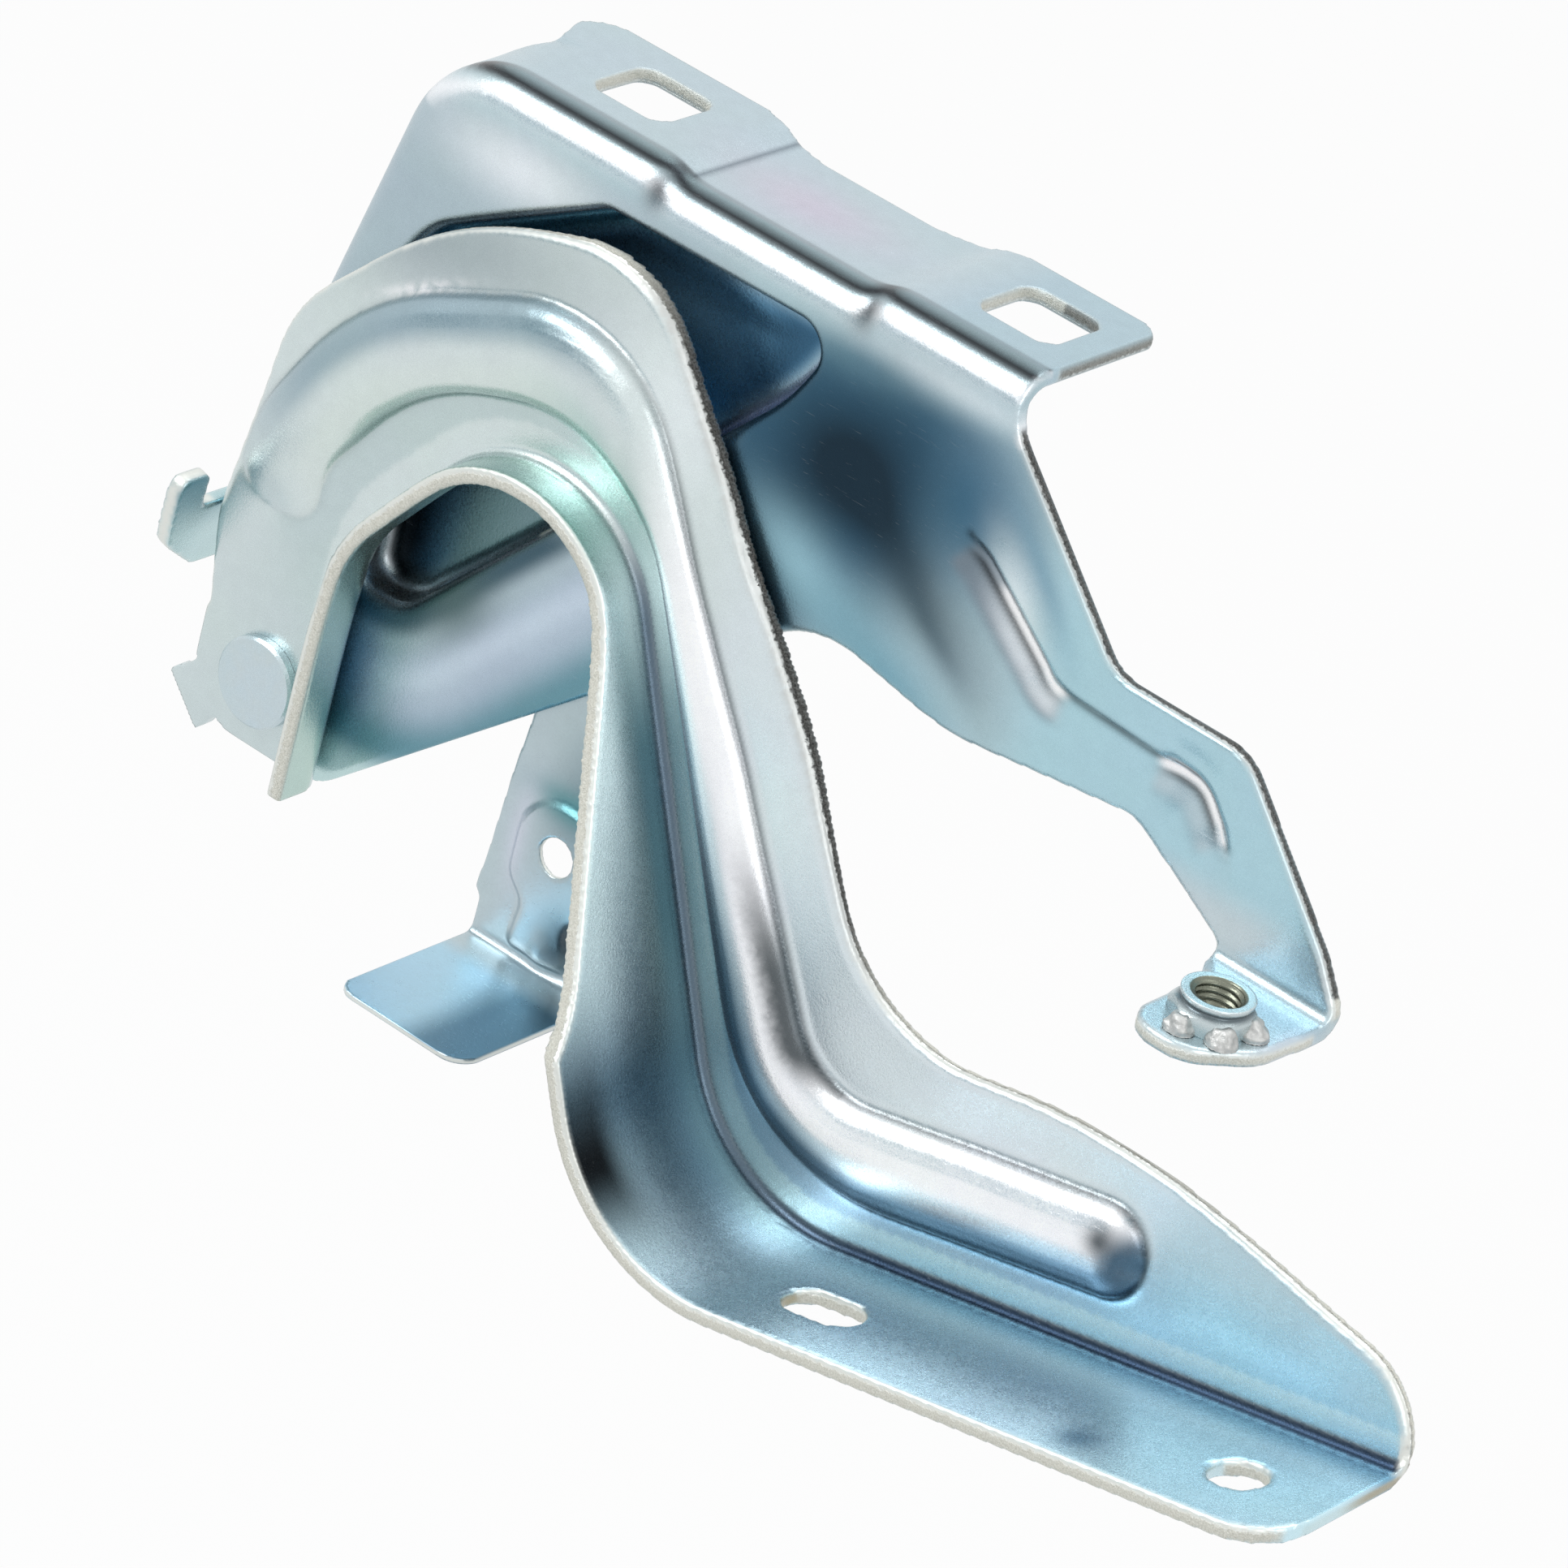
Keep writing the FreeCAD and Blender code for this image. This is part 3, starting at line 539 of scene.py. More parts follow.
def shape_bracket():
    """The bracket's pressing: dished web, dented leg and trimmed flange end."""
    skin = Skin("body_bracket", "bracket_pressing", PRESSING_GRID)
    x, z = skin.x.copy(), skin.z.copy()
    crease = rounded([
        (52.2, -28.5),
        (73.6, -44.8, 5.0),
        (104.8, -46.6, 7.0),
        (112.0, -54.5),
    ], False)
    pocket = rounded([
        (-30.5, -11.5, 6.0),
        (18.5, -11.0, 5.0),
        (11.5, -25.5, 35.0),
        (-52.0, -97.0, 9.0),
        (-62.2, -97.0, 5.4),
        (-66.0, -32.5, 12.0),
    ], True)
    from_crease, side, part = measure(x, z, crease)
    from_crease = from_crease * side
    front = skin.normal[:, 1] < 0
    leg = (z < -7.5) & (skin.y < -17.0) & (skin.y > -23.5) & (z > -68.0)
    on_crease = leg & (np.abs(from_crease) < 2.9) & (x > 48) & (x < 116)
    skin.co[:, 1] = np.where(on_crease & front, WEB_FRONT, skin.co[:, 1])
    skin.co[:, 1] = np.where(on_crease & ~front, WEB_BACK, skin.co[:, 1])

    # the leg's long dent: deep slivers at both ends and a fine step between them
    deep = np.maximum(above(part, 0, 0.08) * below(part, 0.47, 0.14),
                      above(part, 0.70, 0.08) * below(part, 1.02, 0.1))
    left = np.clip(-from_crease, 0, None)
    right = np.clip(from_crease, 0, None)
    flank_left = np.exp(-(left / (1.2 + 4.6 * deep)) ** 1.3)
    flank_right = np.exp(-(right / (0.55 + 0.5 * deep)) ** 1.6)
    dent = (DENT + SLIVER * deep) * np.where(from_crease < 0, flank_left, flank_right)
    ridge = 0.9 * deep * bell(right, 3.4, 2.0) * (from_crease > 0)
    swollen = 0.7 * deep * bell(left, 9.5, 4.0) * (from_crease < 0)
    tails = above(part, 0, 0.02) * below(part, 1.0, 0.02)
    dent = dent * above(x, 49, 5)
    field = dent - (ridge + swollen) * tails

    # dishes of the web between the pocket and the leg, and of the pocket's floor
    outside = ~inside(x, z, pocket)
    to_pocket = measure(x, z, pocket, True)[0]
    far = np.where(outside, above(to_pocket, 3, 6), 0)
    field = field + far * hills(
        x, z,
        (0.9, 30, -35, 9, 15, -50),
        (-0.7, 30, -52, 16, 7, -25),
        (-0.5, 48, -26, 8, 8),
        (0.4, 66, -55, 14, 6, -10),
    )
    floor = ~outside & (to_pocket > 5)
    field = field + floor * above(to_pocket, 5, 5) * 0.6 * bump_at(x, z, -20, -22, 26, 5, 10)
    away = above(np.hypot(x - PIVOT_X, z - PIVOT_Z), 20, 20) * below(z, -7.5, 5)
    away = away * smooth((z + 69) / 4 + (x < 100) * 9)
    in_web = (skin.y < -8.0) & (skin.y > -23.5)
    skin.co[:, 1] += np.where(in_web, field * away, 0)
    near_crease = leg & (np.abs(from_crease) < 8)
    skin.co[:, 1] = skin.relax(skin.co[:, 1], 2, 0.5, near_crease)

    # the top flange's free left end is trimmed smooth and runs into the drawn corner
    near_end = bump_at(x, skin.y, -62.3, 0.6, 3.0, 3.0) * (z > -4)
    for axis in (0, 1):
        skin.co[:, axis] = skin.relax(skin.co[:, axis], 40, 0.5, np.clip(near_end * 2, 0, 1))
    top = above(z, -9, 5)
    skin.co[:, 0] -= END_TRIM * bump_at(x, skin.y, -60.0, -0.8, 6.5, 5.0) * top
    skin.co[:, 0] += END_TRIM * bump_at(x, skin.y, -65.2, 3.4, 3.2, 3.6) * top

    # pinches where the body flange steps down
    pinch = 0.7 * bump_at(np.abs(x), z, 22, -5, 2.6, 4.0)
    skin.co[:, 1] += np.where(skin.y < -14, pinch, 0)

    # sheared edges
    skin.refresh()
    normal = skin.normal
    in_plate = (skin.y > -21.6) & (skin.y < -17.4)
    side_cut = in_plate * below(np.abs(normal[:, 1]), 0.78, 0.25) * (z < -8.5) * (z > -71)
    side_cut = side_cut * ((x > 20) | (z < -120) | ((x > -60) & (z < -58)))
    pad_cut = (skin.y > -12) * below(np.abs(normal[:, 2]), 0.6, 0.25) * (z > -5.2) * (x > -70)
    tab_cut = (skin.y < -25) * (x > 114) * below(np.abs(normal[:, 2]), 0.6, 0.25) * (z < -70)
    finger_cut = (x < -78) & (z < -80) & (skin.y < -23.5)
    finger_cut = finger_cut * below(np.abs(normal[:, 0]), 0.6, 0.25)
    cut = np.clip(side_cut + pad_cut + tab_cut + finger_cut, 0, 1)
    across = np.clip((WEB_BACK - skin.y) / SHEET, 0, 1)
    across = np.where(pad_cut > 0, np.clip(-z / SHEET, 0, 1), across)
    across = np.where(tab_cut > 0, np.clip((z - TAB_TOP + SHEET) / SHEET, 0, 1), across)
    torn = (in_plate & (x > 50) & (z > -68)) + (pad_cut > 0) * (x > 40) * 0.7
    skin.edges(skin.relax(cut, 2), across, torn)

    # colours of the plate's left part, of the pocket and of what shows through the hook, painted
    # with their reflections, highlights and shade
    skin.coat(182, 208, 214)
    plate = skin.y < -5
    in_pocket = ~outside & plate
    # the left part painted a little darker, with a painted highlight between the top bend and the
    # pocket
    skin.lay((176, 195, 202), plate * below(x, 8, 14) * below(z, -4, 6))
    skin.lay((236, 244, 247), plate * outside * bump_at(x, z, -48, -13, 16, 6) * 0.9)
    # the pocket: painted shade and reflections, light blue to navy and dark on its floor, with a
    # painted rim, a lavender painted reflection along its edge and a light painted streak
    skin.lay((108, 166, 204), in_pocket * above(to_pocket, 1.5, 4))
    rim = below(to_pocket, 5, 2) * above(z, -50, 14) * below(x, -8, 14)
    skin.lay((90, 150, 172), in_pocket * rim)
    ground = above(to_pocket, 4, 2) * above(z, -54, 18) * below(x, -8, 18)
    skin.lay((52, 76, 96), in_pocket * ground * 0.9)
    skin.lay((150, 164, 200), in_pocket * below(to_pocket, 3.4, 2.5) * above(x, -20, 20))
    skin.lay((150, 200, 226), bump_at(x, z, -16, -24, 14, 10, 8) * in_pocket * 0.8)
    skin.lay((58, 98, 126), in_pocket * above(x, -6, 12) * above(to_pocket, 1.5, 4))
    # through the hook: a near-black painted shade in the pocket's corner, a teal painted reflection
    # outside it and a thin painted glint along the pocket's edge
    hook = below(z, -58, 14)
    skin.lay((118, 146, 150), hook * in_pocket * above(x, -58, 12))
    skin.lay((8, 14, 18), hook * in_pocket * below(x, -50, 8) * 0.97)
    skin.lay((40, 76, 90), hook * outside * below(to_pocket, 7, 4) * plate * 0.9)
    skin.lay((214, 224, 228), hook * plate * bell(to_pocket, 0.4, 0.6) * 0.8)
    # below the pocket: painted reflections as light and dark patches and a light painted streak
    under = outside * plate * below(x, 16, 12) * below(z, -48, 14)
    skin.lay((176, 194, 208), under * above(to_pocket, 6, 6))
    skin.lay((84, 108, 108), under * bump_at(x, z, -42, -89, 9, 9) * 0.9)
    skin.lay((206, 222, 234), under * bell(to_pocket, 13, 3) * 0.7)
    skin.lay((84, 140, 166), under * bump_at(x, z, -63, -112, 9, 16) * 0.9)
    skin.lay((96, 146, 158), under * above(to_pocket, 17, 8) * 0.9)
    skin.lay((196, 222, 222), under * above(to_pocket, 26, 6))
    # from the pocket to the leg: painted reflections and shade, with a dark painted reflection lobe
    # and its darker halo, light painted streaks and a bright painted band under the top bend
    open_web = outside * plate * above(x, -8, 16)
    near_pocket = open_web * below(to_pocket, 46, 24) * below(z, -9, 6)
    skin.lay((62, 100, 122), near_pocket)
    skin.lay((76, 118, 142), open_web * bump_at(x, z, 50, -24, 14, 15, 40))
    skin.lay((228, 242, 246), open_web * bump_at(x, z, 40, -7.5, 22, 2.5) * 0.9)
    skin.lay((104, 142, 158), open_web * bump_at(x, z, 24, -12.5, 14, 4) * 0.85)
    lobe = hills(x, z, (1.0, 27, -30, 11, 16, -50), (0.7, 42, -40, 22, 6, -32))
    halo = bump_at(x, z, 30, -32, 20, 20, -40)
    skin.lay((40, 80, 104), halo * open_web * 0.8)
    skin.lay((24, 42, 54), np.clip(lobe, 0, 1) * open_web * 0.9)
    skin.lay((150, 190, 202), bump_at(x, z, 24, -50, 14, 6, -25) * open_web)
    skin.lay((120, 168, 184), bump_at(x, z, 44, -60, 18, 7, -25) * open_web * 0.9)
    skin.lay((176, 212, 222), above(x, 62, 14) * (z < -10) * 0.95)
    skin.lay((58, 80, 92), open_web * bump_at(x, z, 49, -47, 12, 2.6, -38) * 0.6)
    skin.lay((104, 150, 172), leg * bump_at(x, z, 67, -29, 12, 2.5, -50) * 0.6)
    skin.lay((224, 238, 240), leg * bump_at(x, z, 64, -34, 9, 3.2, -50) * (from_crease > 0) * 0.85)
    # the crease: a painted shade line with a white painted highlight beside it where it is deep
    line = leg * (x > 49) * (x < 114)
    dented = line * below(left, 7.4, 2.4) * (from_crease < 0) * smooth(deep * 2)
    dented = dented * (1 - 0.6 * above(x, 84, 8))
    skin.lay((122, 134, 144), dented * 0.85)
    skin.lay((222, 230, 234), dented * above(x, 53, 12) * below(left, 6.4, 2.4) * 0.9)
    skin.lay((10, 14, 18), line * bell(from_crease, 0, 0.7) * 0.75 * (1 - deep))
    skin.lay((66, 84, 98), line * bell(from_crease, 0.5, 0.7) * deep)
    skin.lay((8, 11, 14), line * bell(from_crease, -1.9, 0.6) * deep * 0.9)
    white = 1.5 * bell(from_crease, -0.7, 0.65) * above(part, 0.12, 0.06) * smooth(deep * 2)
    skin.lay((252, 253, 253), line * white)
    # the leg's lower end and its tab, with painted reflections on the tab's bend and end
    skin.lay((198, 212, 216), (x > 85) * below(z, -58, 8))
    skin.lay((190, 208, 214), (x > 112) * below(z, -68, 3))
    tab_bend = bump_at(skin.y, z, -27, -70, 5, 3) * (skin.y < -22)
    skin.lay((140, 178, 198), (x > 112) * tab_bend * 0.9)
    tab_end = bump_at(x, skin.y, 142, -34, 7, 8) * (z < -68)
    skin.lay((212, 224, 236), (x > 136) * tab_end * 0.8)
    # the top flange and its bend: painted light and shade, with a dark painted line at the step,
    # dark and white bands painted by the bend's slope, and painted shade at the pinches
    flangetop = above(z, -6, 3) * (skin.y > -15)
    skin.lay((190, 208, 214), flangetop)
    skin.lay((206, 200, 214), flangetop * bump_at(x, skin.y, -4, -3, 16, 8) * 0.8)
    skin.lay((168, 196, 208), flangetop * above(x, 26, 10) * 0.6)
    skin.lay((90, 104, 116), flangetop * bell(x, -19.5, 0.5) * 0.8)
    over_bend = (skin.y < -13.5) * (z > -11) * (x > -72)
    skin.lay((10, 16, 24), over_bend * bell(normal[:, 2], 0.89, 0.11))
    skin.lay((246, 250, 252), over_bend * bell(normal[:, 2], 0.48, 0.22) * 0.9)
    skin.lay((30, 38, 46), over_bend * bump_at(np.abs(x), z, 22, -4, 2.2, 3) * 0.8)
    # the back is plain
    skin.lay((190, 208, 214), above(normal[:, 1], 0.2, 0.4) * (z < -7) * 0.85)
    skin.tint_and_painted_light(1)
    return skin


def shape_leg():
    """The thin leg: its raised pad pressed with wide soft flanks."""
    skin = Skin("support_leg", "thin_leg_pressing", LEG_GRID)
    x, z = skin.x.copy(), skin.z.copy()
    plate = (skin.y > -21.2) & (z > -143.5)
    near = hills(x, z, (2, LEG_HOLE_X, LEG_HOLE_Z, 14, 15), (2, LEG_HOLE_X, -140, 9, 8))
    hole = np.hypot(x - LEG_HOLE_X, z - LEG_HOLE_Z)
    where = np.clip(near, 0, 1) * plate * above(hole, 3.8, 1.5)
    skin.co[:, 1] = skin.relax(skin.co[:, 1], 14, 0.5, where)
    wave = 0.35 * np.sin(z * 0.21 + x * 0.1) * above(z, -138, 8) * below(z, -98, 10)
    skin.co[:, 1] += np.where(plate, wave * above(hole, 12, 6), 0)
    crumple = hills(x, z, (0.9, -3.5, -142.5, 2.2, 4.0, 30), (-0.6, -9.0, -141.5, 2.0, 3.5))
    skin.co[:, 1] += np.where(skin.y > -23.5, crumple, 0)
    skin.refresh()
    normal = skin.normal
    edge_side = below(np.abs(normal[:, 1]), 0.6, 0.25) * (skin.y > -19.6) * (z > -142)
    edge_tab = below(np.abs(normal[:, 2]), 0.6, 0.25) * (skin.y < -22) * (z < -144)
    cut = np.clip(edge_side + edge_tab, 0, 1)
    across = np.clip((WEB_BACK + LEG_SHEET - skin.y) / LEG_SHEET, 0, 1)
    skin.edges(skin.relax(cut, 1), across, np.zeros(len(x)))
    skin.coat(190, 206, 210)
    # painted reflections and shade: darker and lighter patches, the tab bent forward painted
    # lighter and bluer, darker at its right, and a dark painted shade patch low on the leg
    skin.lay((110, 134, 144), bump_at(x, z, -6, -112, 9, 14) * 0.8)
    skin.lay((176, 214, 232), below(skin.y, -22, 6) * 0.9)
    skin.lay((60, 104, 128), below(skin.y, -22, 6) * above(x, -12, 8) * 0.8)
    skin.lay((90, 146, 152), bump_at(x, z, -10, -114, 8, 3) * 0.9)
    skin.lay((210, 216, 228), bump_at(x, z, -19, -124, 2.5, 9) * 0.8)
    skin.lay((44, 60, 70), bump_at(x, z, -4, -137, 5, 5) * 0.9)
    skin.tint_and_painted_light()
    return skin


# small pieces

def shape_nut():
    """The weld nut with the turns of its thread cut into the bore."""
    skin = Skin("weld_nut", "threaded_weld_nut", FASTENER_GRID)
    u = skin.x - NUT_X
    v = skin.y - NUT_Y
    radius = np.hypot(u, v)
    angle = np.arctan2(v, u) / (2 * math.pi)
    turns = (skin.z / THREAD_PITCH - angle) % 1.0
    depth = 0.6 * np.abs(2 * turns - 1) - 0.4
    bore = (radius < 4.5) * (skin.z < -67.2)
    groove = 0.5 * bell(skin.z, -68.3, 0.6) * above(radius, 4.9, 0.6)
    depth = np.where(bore, depth, -groove)
    scale = (radius + depth) / np.maximum(radius, 1e-6)
    skin.co[:, 0] = NUT_X + u * scale
    skin.co[:, 1] = NUT_Y + v * scale
    skin.refresh()
    whole = np.zeros(len(u))
    skin.edges(whole, whole, whole)
    skin.coat(202, 214, 216)
    skin.lay((128, 132, 118), radius < 4.7)
    # a painted shade line in the groove round the collar
    skin.lay((60, 74, 82), (radius > 4.9) * bell(skin.z, -68.4, 0.5) * 0.85)
    skin.tint_and_painted_light()
    return skin


def shape_welds():
    """Lumpy weld metal at three corners of the nut."""
    skin = Skin("nut_welds", "weld_lumps", FASTENER_GRID)
    rough = grain(skin.co, 0.75, 3.0) * 0.45 + grain(skin.co, 2.0, 9.0) * 0.16
    low = above(skin.z, -71.9, 0.5)
    skin.co += skin.normal * ((rough + 0.3) * low - 0.1)[:, None]
    around = np.arctan2(skin.co[:, 1] - NUT_Y, skin.co[:, 0] - NUT_X)
    order = np.argsort(around)
    lump = np.zeros(len(order), int)
    lump[order[1:]] = np.cumsum(np.diff(around[order]) > LUMP_GAP)
    if around[order[0]] + 2 * math.pi - around[order[-1]] < LUMP_GAP:
        lump[lump == lump.max()] = 0
    for one in np.unique(lump):
        mine = lump == one
        centre = skin.co[mine].mean(axis=0)
        inward = np.array([NUT_X - centre[0], NUT_Y - centre[1]])
        inward = inward / np.linalg.norm(inward)
        skin.co[mine, :2] = centre[:2] + (skin.co[mine, :2] - centre[:2]) * 1.3 + inward * 0.8
        skin.co[mine, 2] = TAB_TOP + (skin.co[mine, 2] - TAB_TOP) * 1.3
    for axis in range(3):
        skin.co[:, axis] = skin.relax(skin.co[:, axis], 4, 0.5, low)
    return skin


# materials

def nodes_of(name):
    """A new material with its node tree and its shader."""
    mat = bpy.data.materials.new(name)
    mat.use_nodes = True
    return mat, mat.node_tree, mat.node_tree.nodes["Principled BSDF"]


def add(tree, kind, **inputs):
    """A node with some of its sockets, given by name or as i and a number, set or linked."""
    node = tree.nodes.new(kind)
    for key, value in inputs.items():
        by_number = key[0] == "i" and key[1:].isdigit()
        socket = node.inputs[int(key[1:]) if by_number else key]
        if isinstance(value, bpy.types.NodeSocket):
            tree.links.new(value, socket)
        else:
            socket.default_value = value
    return node


def maths(tree, kind, a, b):
    """One operation on two numbers or sockets."""
    node = add(tree, "ShaderNodeMath", i0=a, i1=b)
    node.operation = kind
    return node.outputs[0]


def mapped(tree, value, low, high, to_low=0.0, to_high=1.0):
    """A value stretched from one range to another and held inside it."""
    node = add(tree, "ShaderNodeMapRange", i0=value, i1=low, i2=high, i3=to_low, i4=to_high)
    return node.outputs[0]


def noise_in(tree, coords, scale, detail=3.0, rough=0.55):
    """Soft noise, with scale as the number of its waves in a millimetre."""
    node = add(tree, "ShaderNodeTexNoise", Vector=coords, Scale=scale)
    node.inputs["Detail"].default_value = detail
    node.inputs["Roughness"].default_value = rough
    return node.outputs[0]


def mix(tree, share, a, b, kind="MIX"):
    """Two colours mixed by a share."""
    node = tree.nodes.new("ShaderNodeMix")
    node.data_type = "RGBA"
    node.blend_type = kind
    for index, value in ((0, share), (6, a), (7, b)):
        if isinstance(value, bpy.types.NodeSocket):
            tree.links.new(value, node.inputs[index])
        else:
            node.inputs[index].default_value = value
    return node.outputs[2]


def millimetres(tree):
    """The piece's own coordinates in millimetres."""
    place = tree.nodes.new("ShaderNodeTexCoord").outputs["Object"]
    return add(tree, "ShaderNodeMapping", Vector=place, Scale=(MM, MM, MM)).outputs[0]


def layer(tree, name, socket="Fac"):
    """What a skin's paint or tint has written for each point."""
    node = tree.nodes.new("ShaderNodeAttribute")
    node.attribute_name = name
    return node.outputs[socket]


def zinc(name, rough, colour=None):
    """Blue passivated zinc: fine grain, soft spangle and scratches. Without a colour of its own it
    reads the colour the skin painted for each point, with its painted reflections, highlights and
    shade, and the skin's sheared edges."""
    mat, tree, shader = nodes_of(name)
    mm = millimetres(tree)
    broad = noise_in(tree, mm, 0.045, 2.0)
    cloud = noise_in(tree, mm, 0.35, 3.0)
    fine = noise_in(tree, mm, 2.2, 3.0, 0.65)
    pores = noise_in(tree, mm, 5.5, 2.0, 0.6)
    brushed = add(tree, "ShaderNodeMapping", Vector=mm, Rotation=(0.0, 0.5, 0.3))
    brushed.inputs["Scale"].default_value = (0.12, 3.0, 3.0)
    lines = mapped(tree, noise_in(tree, brushed.outputs[0], 1.6, 3.0, 0.6), 0.66, 0.72)

    if colour is None:
        # base colour: the skin's own colour with its painted reflections, highlights and shade
        base = layer(tree, "tint_and_painted_light", "Color")
    else:
        bluer = (colour[0] * 0.86, colour[1] * 0.93, colour[2], 1)
        base = mix(tree, cloud, (*colour, 1), bluer)
    shade = mapped(tree, cloud, 0.25, 0.75, 0.97, 1.03)
    shade = maths(tree, "MULTIPLY", shade, mapped(tree, fine, 0.2, 0.8, 0.95, 1.05))
    toned = add(tree, "ShaderNodeVectorMath", i0=base, i3=shade)
    toned.operation = "SCALE"
    toned = toned.outputs[0]
    hue = mapped(tree, broad, 0.35, 0.65)
    violet = mix(tree, 1.0, toned, (1.02, 0.92, 1.10, 1), "MULTIPLY")
    toned = mix(tree, maths(tree, "MULTIPLY", hue, 0.15), toned, violet)
    toned = mix(tree, maths(tree, "MULTIPLY", lines, 0.09), toned, (0.75, 0.78, 0.78, 1))

    uneven = mapped(tree, cloud, 0.3, 0.7, rough - 0.015, rough + 0.02)
    uneven = maths(tree, "ADD", uneven, mapped(tree, fine, 0.3, 0.7, -0.03, 0.03))
    grains = maths(tree, "MULTIPLY", fine, 0.7)
    height = maths(tree, "ADD", grains, maths(tree, "MULTIPLY", pores, 0.3))
    height = maths(tree, "SUBTRACT", height, maths(tree, "MULTIPLY", lines, 0.12))
    bump = add(tree, "ShaderNodeBump", Strength=0.45, Distance=0.00012, Height=height)

    if colour is None:
        # a sheared edge is smooth on one part of its width and broken on the other
        cut, across, torn = (layer(tree, mark) for mark in ("cut", "across", "torn"))
        jag = noise_in(tree, mm, 1.1, 4.0, 0.7)
        level = maths(tree, "ADD", across, mapped(tree, jag, 0.3, 0.7, -0.14, 0.14))
        broken = mapped(tree, level, 0.72, 0.60)
        chips = noise_in(tree, mm, 3.2, 4.0, 0.75)
        speckled = mapped(tree, chips, 0.35, 0.65)
        grey = mix(tree, speckled, (0.015, 0.016, 0.016, 1), (0.20, 0.20, 0.19, 1))
        cream = mix(tree, speckled, (0.62, 0.62, 0.55, 1), (0.86, 0.86, 0.80, 1))
        face = mix(tree, torn, cream, grey)
        bright = mix(tree, torn, (0.80, 0.82, 0.78, 1), (0.55, 0.57, 0.56, 1))
        face = mix(tree, broken, bright, face)
        toned = mix(tree, cut, toned, face)
        worn = maths(tree, "MULTIPLY", cut, mapped(tree, broken, 0.0, 1.0, 0.12, 0.30))
        uneven = maths(tree, "ADD", uneven, worn)
        stepped = maths(tree, "MULTIPLY", cut, maths(tree, "MULTIPLY", chips, broken))
        rugged = add(tree, "ShaderNodeBump", Strength=0.9, Distance=0.00035, Height=stepped)
        tree.links.new(bump.outputs[0], rugged.inputs["Normal"])
        bump = rugged
    tree.links.new(toned, shader.inputs["Base Color"])
    tree.links.new(uneven, shader.inputs["Roughness"])
    tree.links.new(bump.outputs[0], shader.inputs["Normal"])
    shader.inputs["Metallic"].default_value = 0.88
    return mat


def plain(name, colour, metallic, rough, scale, strength):
    """A simpler material with mottled colour, uneven roughness and a fine bump."""
    mat, tree, shader = nodes_of(name)
    mm = millimetres(tree)
    cloud = noise_in(tree, mm, scale, 4.0, 0.6)
    fine = noise_in(tree, mm, scale * 5, 3.0, 0.6)
    dark = tuple(c * 0.72 for c in colour) + (1,)
    mottled = mix(tree, mapped(tree, cloud, 0.3, 0.7), dark, (*colour, 1))
    uneven = mapped(tree, fine, 0.3, 0.7, rough - 0.06, rough + 0.08)
    tree.links.new(mottled, shader.inputs["Base Color"])
    tree.links.new(uneven, shader.inputs["Roughness"])
    bump = add(tree, "ShaderNodeBump", Strength=strength, Distance=0.00015, Height=fine)
    tree.links.new(bump.outputs[0], shader.inputs["Normal"])
    shader.inputs["Metallic"].default_value = metallic
    return mat


# light and floor

def rectangle(name, size):
    """A flat mesh round its own centre."""
    w, h = size[0] / 2, size[1] / 2
    mesh = bpy.data.meshes.new(name)
    mesh.from_pydata([(-w, -h, 0), (w, -h, 0), (w, h, 0), (-w, h, 0)], [], [(0, 1, 2, 3)])
    return mesh


def area(name, at, aim, size, power):
    """A soft white lamp at a place, facing a point of the hinge."""
    data = bpy.data.lights.new(name, "AREA")
    data.shape = "RECTANGLE"
    data.size = size[0]
    data.size_y = size[1]
    data.energy = power
    lamp = bpy.data.objects.new(name, data)
    aim = Vector(aim) - Vector(at)
    lamp.rotation_euler = aim.to_track_quat("-Z", "Y").to_euler()
    lamp.location = at
    scene.collection.objects.link(lamp)


def card(name, centre, aim, size, colour):
    """A studio card that only reflections see."""
    mesh = rectangle(name, size)
    mat, tree, shader = nodes_of(name)
    tree.nodes.remove(shader)
    glow = add(tree, "ShaderNodeEmission", Color=(*colour, 1), Strength=1.0)
    tree.links.new(glow.outputs[0], tree.nodes["Material Output"].inputs["Surface"])
    mesh.materials.append(mat)
    piece = bpy.data.objects.new(name, mesh)
    aim = Vector(aim) - Vector(centre)
    piece.rotation_euler = aim.to_track_quat("Z", "Y").to_euler()
    piece.location = centre
    scene.collection.objects.link(piece)
    piece.visible_camera = False
    piece.visible_diffuse = False
    piece.visible_shadow = False
    piece.visible_transmission = False


def white_share(tree, to_camera, to_gloss):
    """How far the camera, and a gloss or a glass, see plain white in place of a surface."""
    rays = tree.nodes.new("ShaderNodeLightPath").outputs
    gloss = maths(tree, "MAXIMUM", rays["Is Glossy Ray"], rays["Is Transmission Ray"])
    gloss = maths(tree, "MULTIPLY", gloss, to_gloss)
    return maths(tree, "MAXIMUM", maths(tree, "MULTIPLY", rays["Is Camera Ray"], to_camera), gloss)


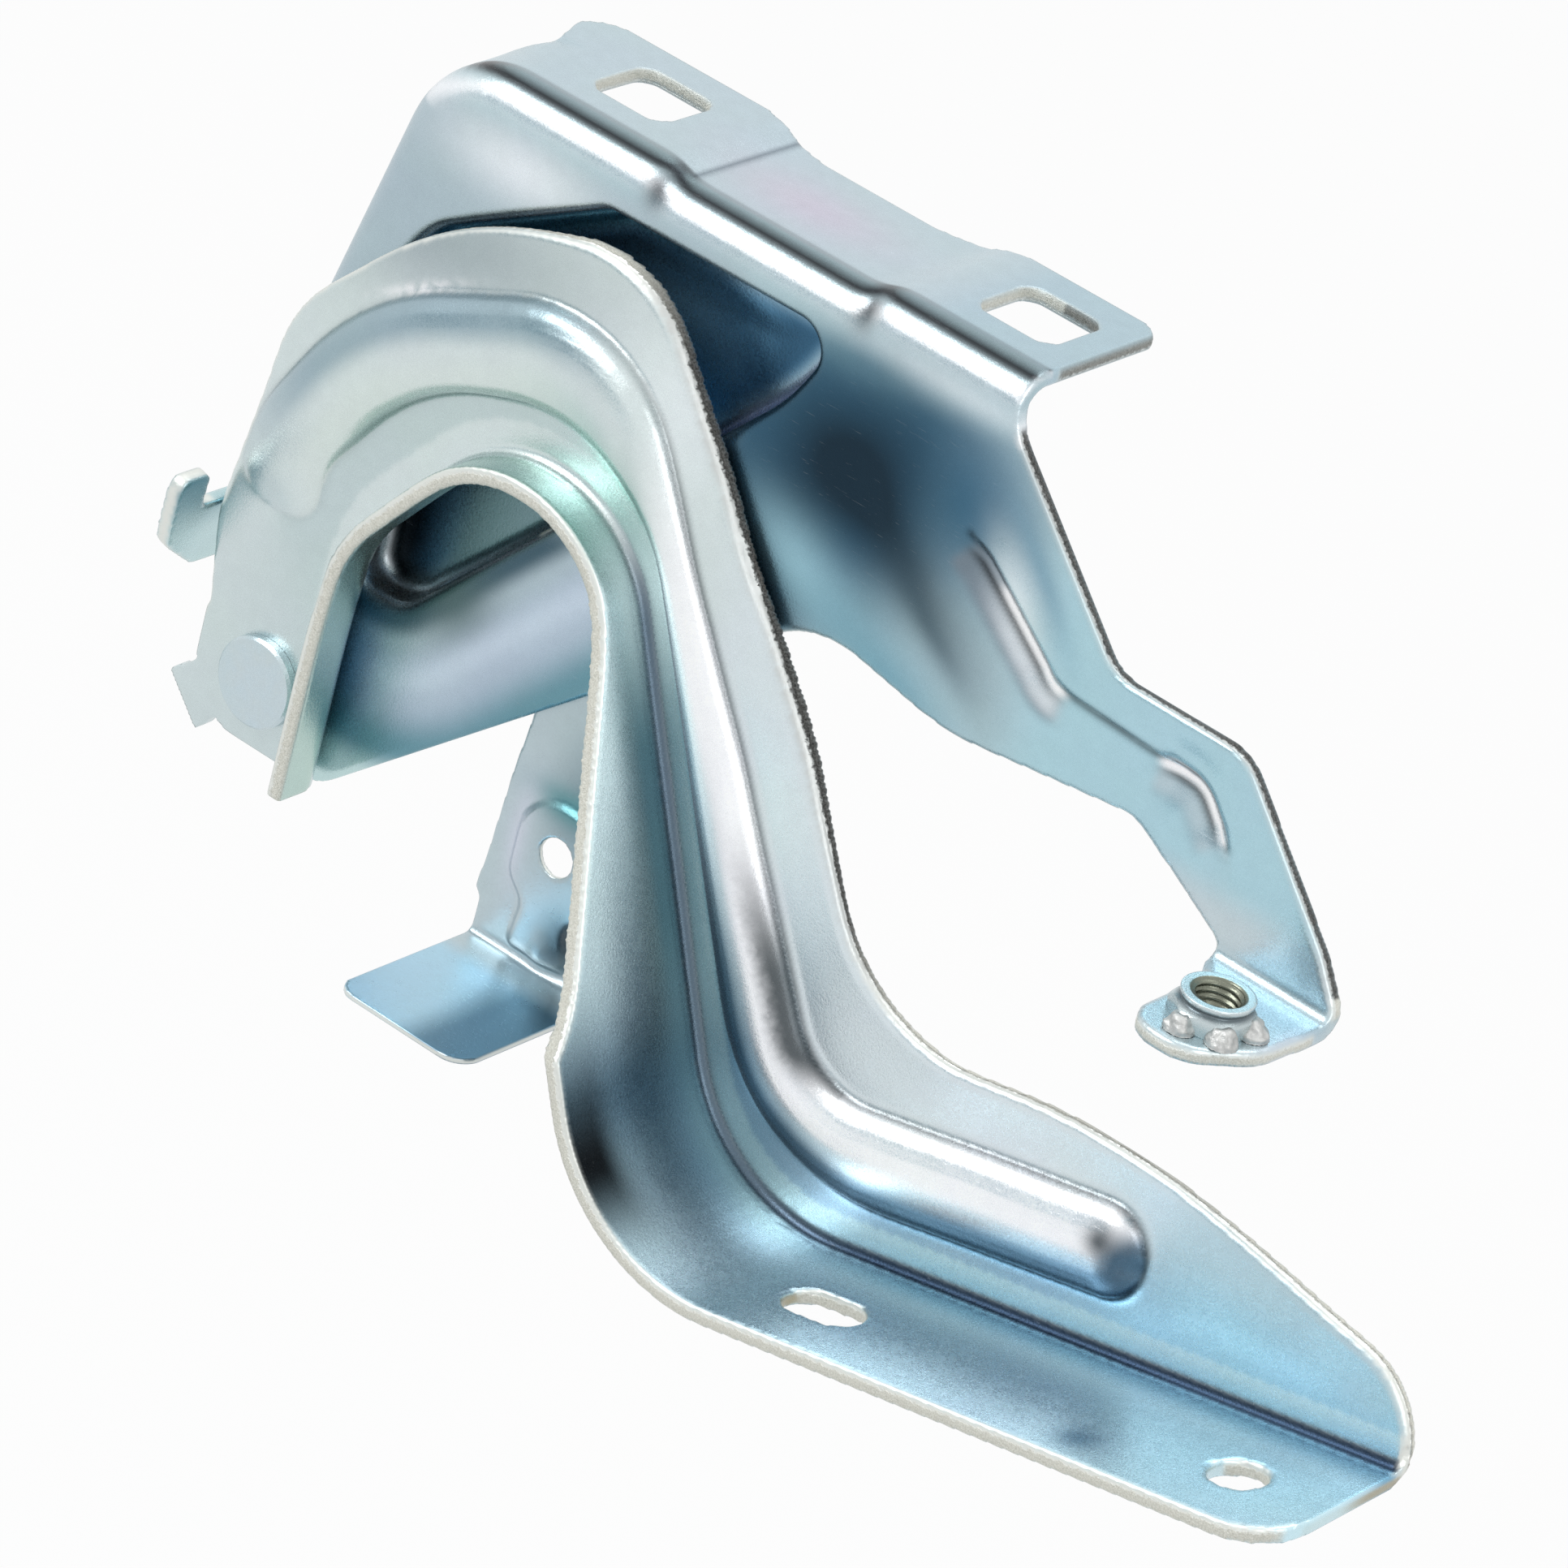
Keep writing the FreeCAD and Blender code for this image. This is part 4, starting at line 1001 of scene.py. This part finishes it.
def studio():
    """Plain pale floor, white surroundings and soft lamps."""
    world = bpy.data.worlds.new("world")
    scene.world = world
    world.use_nodes = True
    tree = world.node_tree
    back = tree.nodes["Background"]
    back.inputs["Color"].default_value = (0.95, 0.98, 1.0, 1)
    back.inputs["Strength"].default_value = 0.35
    white = add(tree, "ShaderNodeBackground", Color=(1, 1, 1, 1), Strength=1.0)
    share = white_share(tree, 1.0, 1.0)
    both = add(tree, "ShaderNodeMixShader", i0=share, i1=back.outputs[0], i2=white.outputs[0])
    tree.links.new(both.outputs[0], tree.nodes["World Output"].inputs["Surface"])

    floor = bpy.data.objects.new("floor", rectangle("floor", (8, 8)))
    floor.location = (0, 0, cad_low[2] - FLOOR_DROP)
    scene.collection.objects.link(floor)
    mat, tree, shader = nodes_of("floor_mat")
    shader.inputs["Base Color"].default_value = (0.85, 0.86, 0.87, 1)
    shader.inputs["Roughness"].default_value = 0.9
    white = add(tree, "ShaderNodeEmission", Color=(1, 1, 1, 1), Strength=1.0)
    share = white_share(tree, 0.95, 0.9)
    both = add(tree, "ShaderNodeMixShader", i0=share, i1=shader.outputs[0], i2=white.outputs[0])
    tree.links.new(both.outputs[0], tree.nodes["Material Output"].inputs["Surface"])
    floor.data.materials.append(mat)

    centre = (0.02, -0.03, -0.08)
    area("key", (-0.60, -0.80, 0.95), centre, (0.8, 0.5), 8)
    area("side", (1.1, -0.5, 0.5), centre, (0.5, 0.9), 2.5)
    area("top", (0.1, 0.5, 1.3), centre, (1.0, 0.5), 3)
    card("card_front", (-0.60, -1.05, 0.20), centre, (1.1, 0.26), (0.26, 0.39, 0.45))


# all together

camera()
scene.view_settings.view_transform = "Standard"
studio()

zinc_arm = zinc("zinc_arm_mat", 0.27)
zinc_bracket = zinc("zinc_bracket_mat", 0.27)
zinc_leg = zinc("zinc_leg_mat", 0.30)
zinc_nut = zinc("zinc_nut_mat", 0.26)
zinc_small = zinc("zinc_small_mat", 0.26, (0.62, 0.71, 0.71))
weld = plain("weld_mat", (0.62, 0.63, 0.62), 1.0, 0.42, 0.8, 0.6)
bronze = plain("bronze_mat", (0.55, 0.42, 0.24), 1.0, 0.38, 0.6, 0.3)
sliding = plain("sliding_mat", (0.05, 0.05, 0.055), 0.0, 0.5, 0.5, 0.3)

shape_arm().done("arm", "zinc_arm", zinc_arm)
shape_bracket().done("bracket", "zinc_bracket", zinc_bracket)
shape_leg().done("bracket", "zinc_thin_leg", zinc_leg)
shape_nut().done("bracket", "zinc_fastener", zinc_nut)
shape_welds().done("bracket", "weld_metal", weld)

# the pivot's small pieces keep their CAD shape
finish = {
    "pivot_rivet": zinc_small,
    "rivet_washer": zinc_small,
    "thrust_washer": sliding,
    "pivot_bush": bronze,
}
for name, mat in finish.items():
    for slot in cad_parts[name].material_slots:
        slot.material = mat
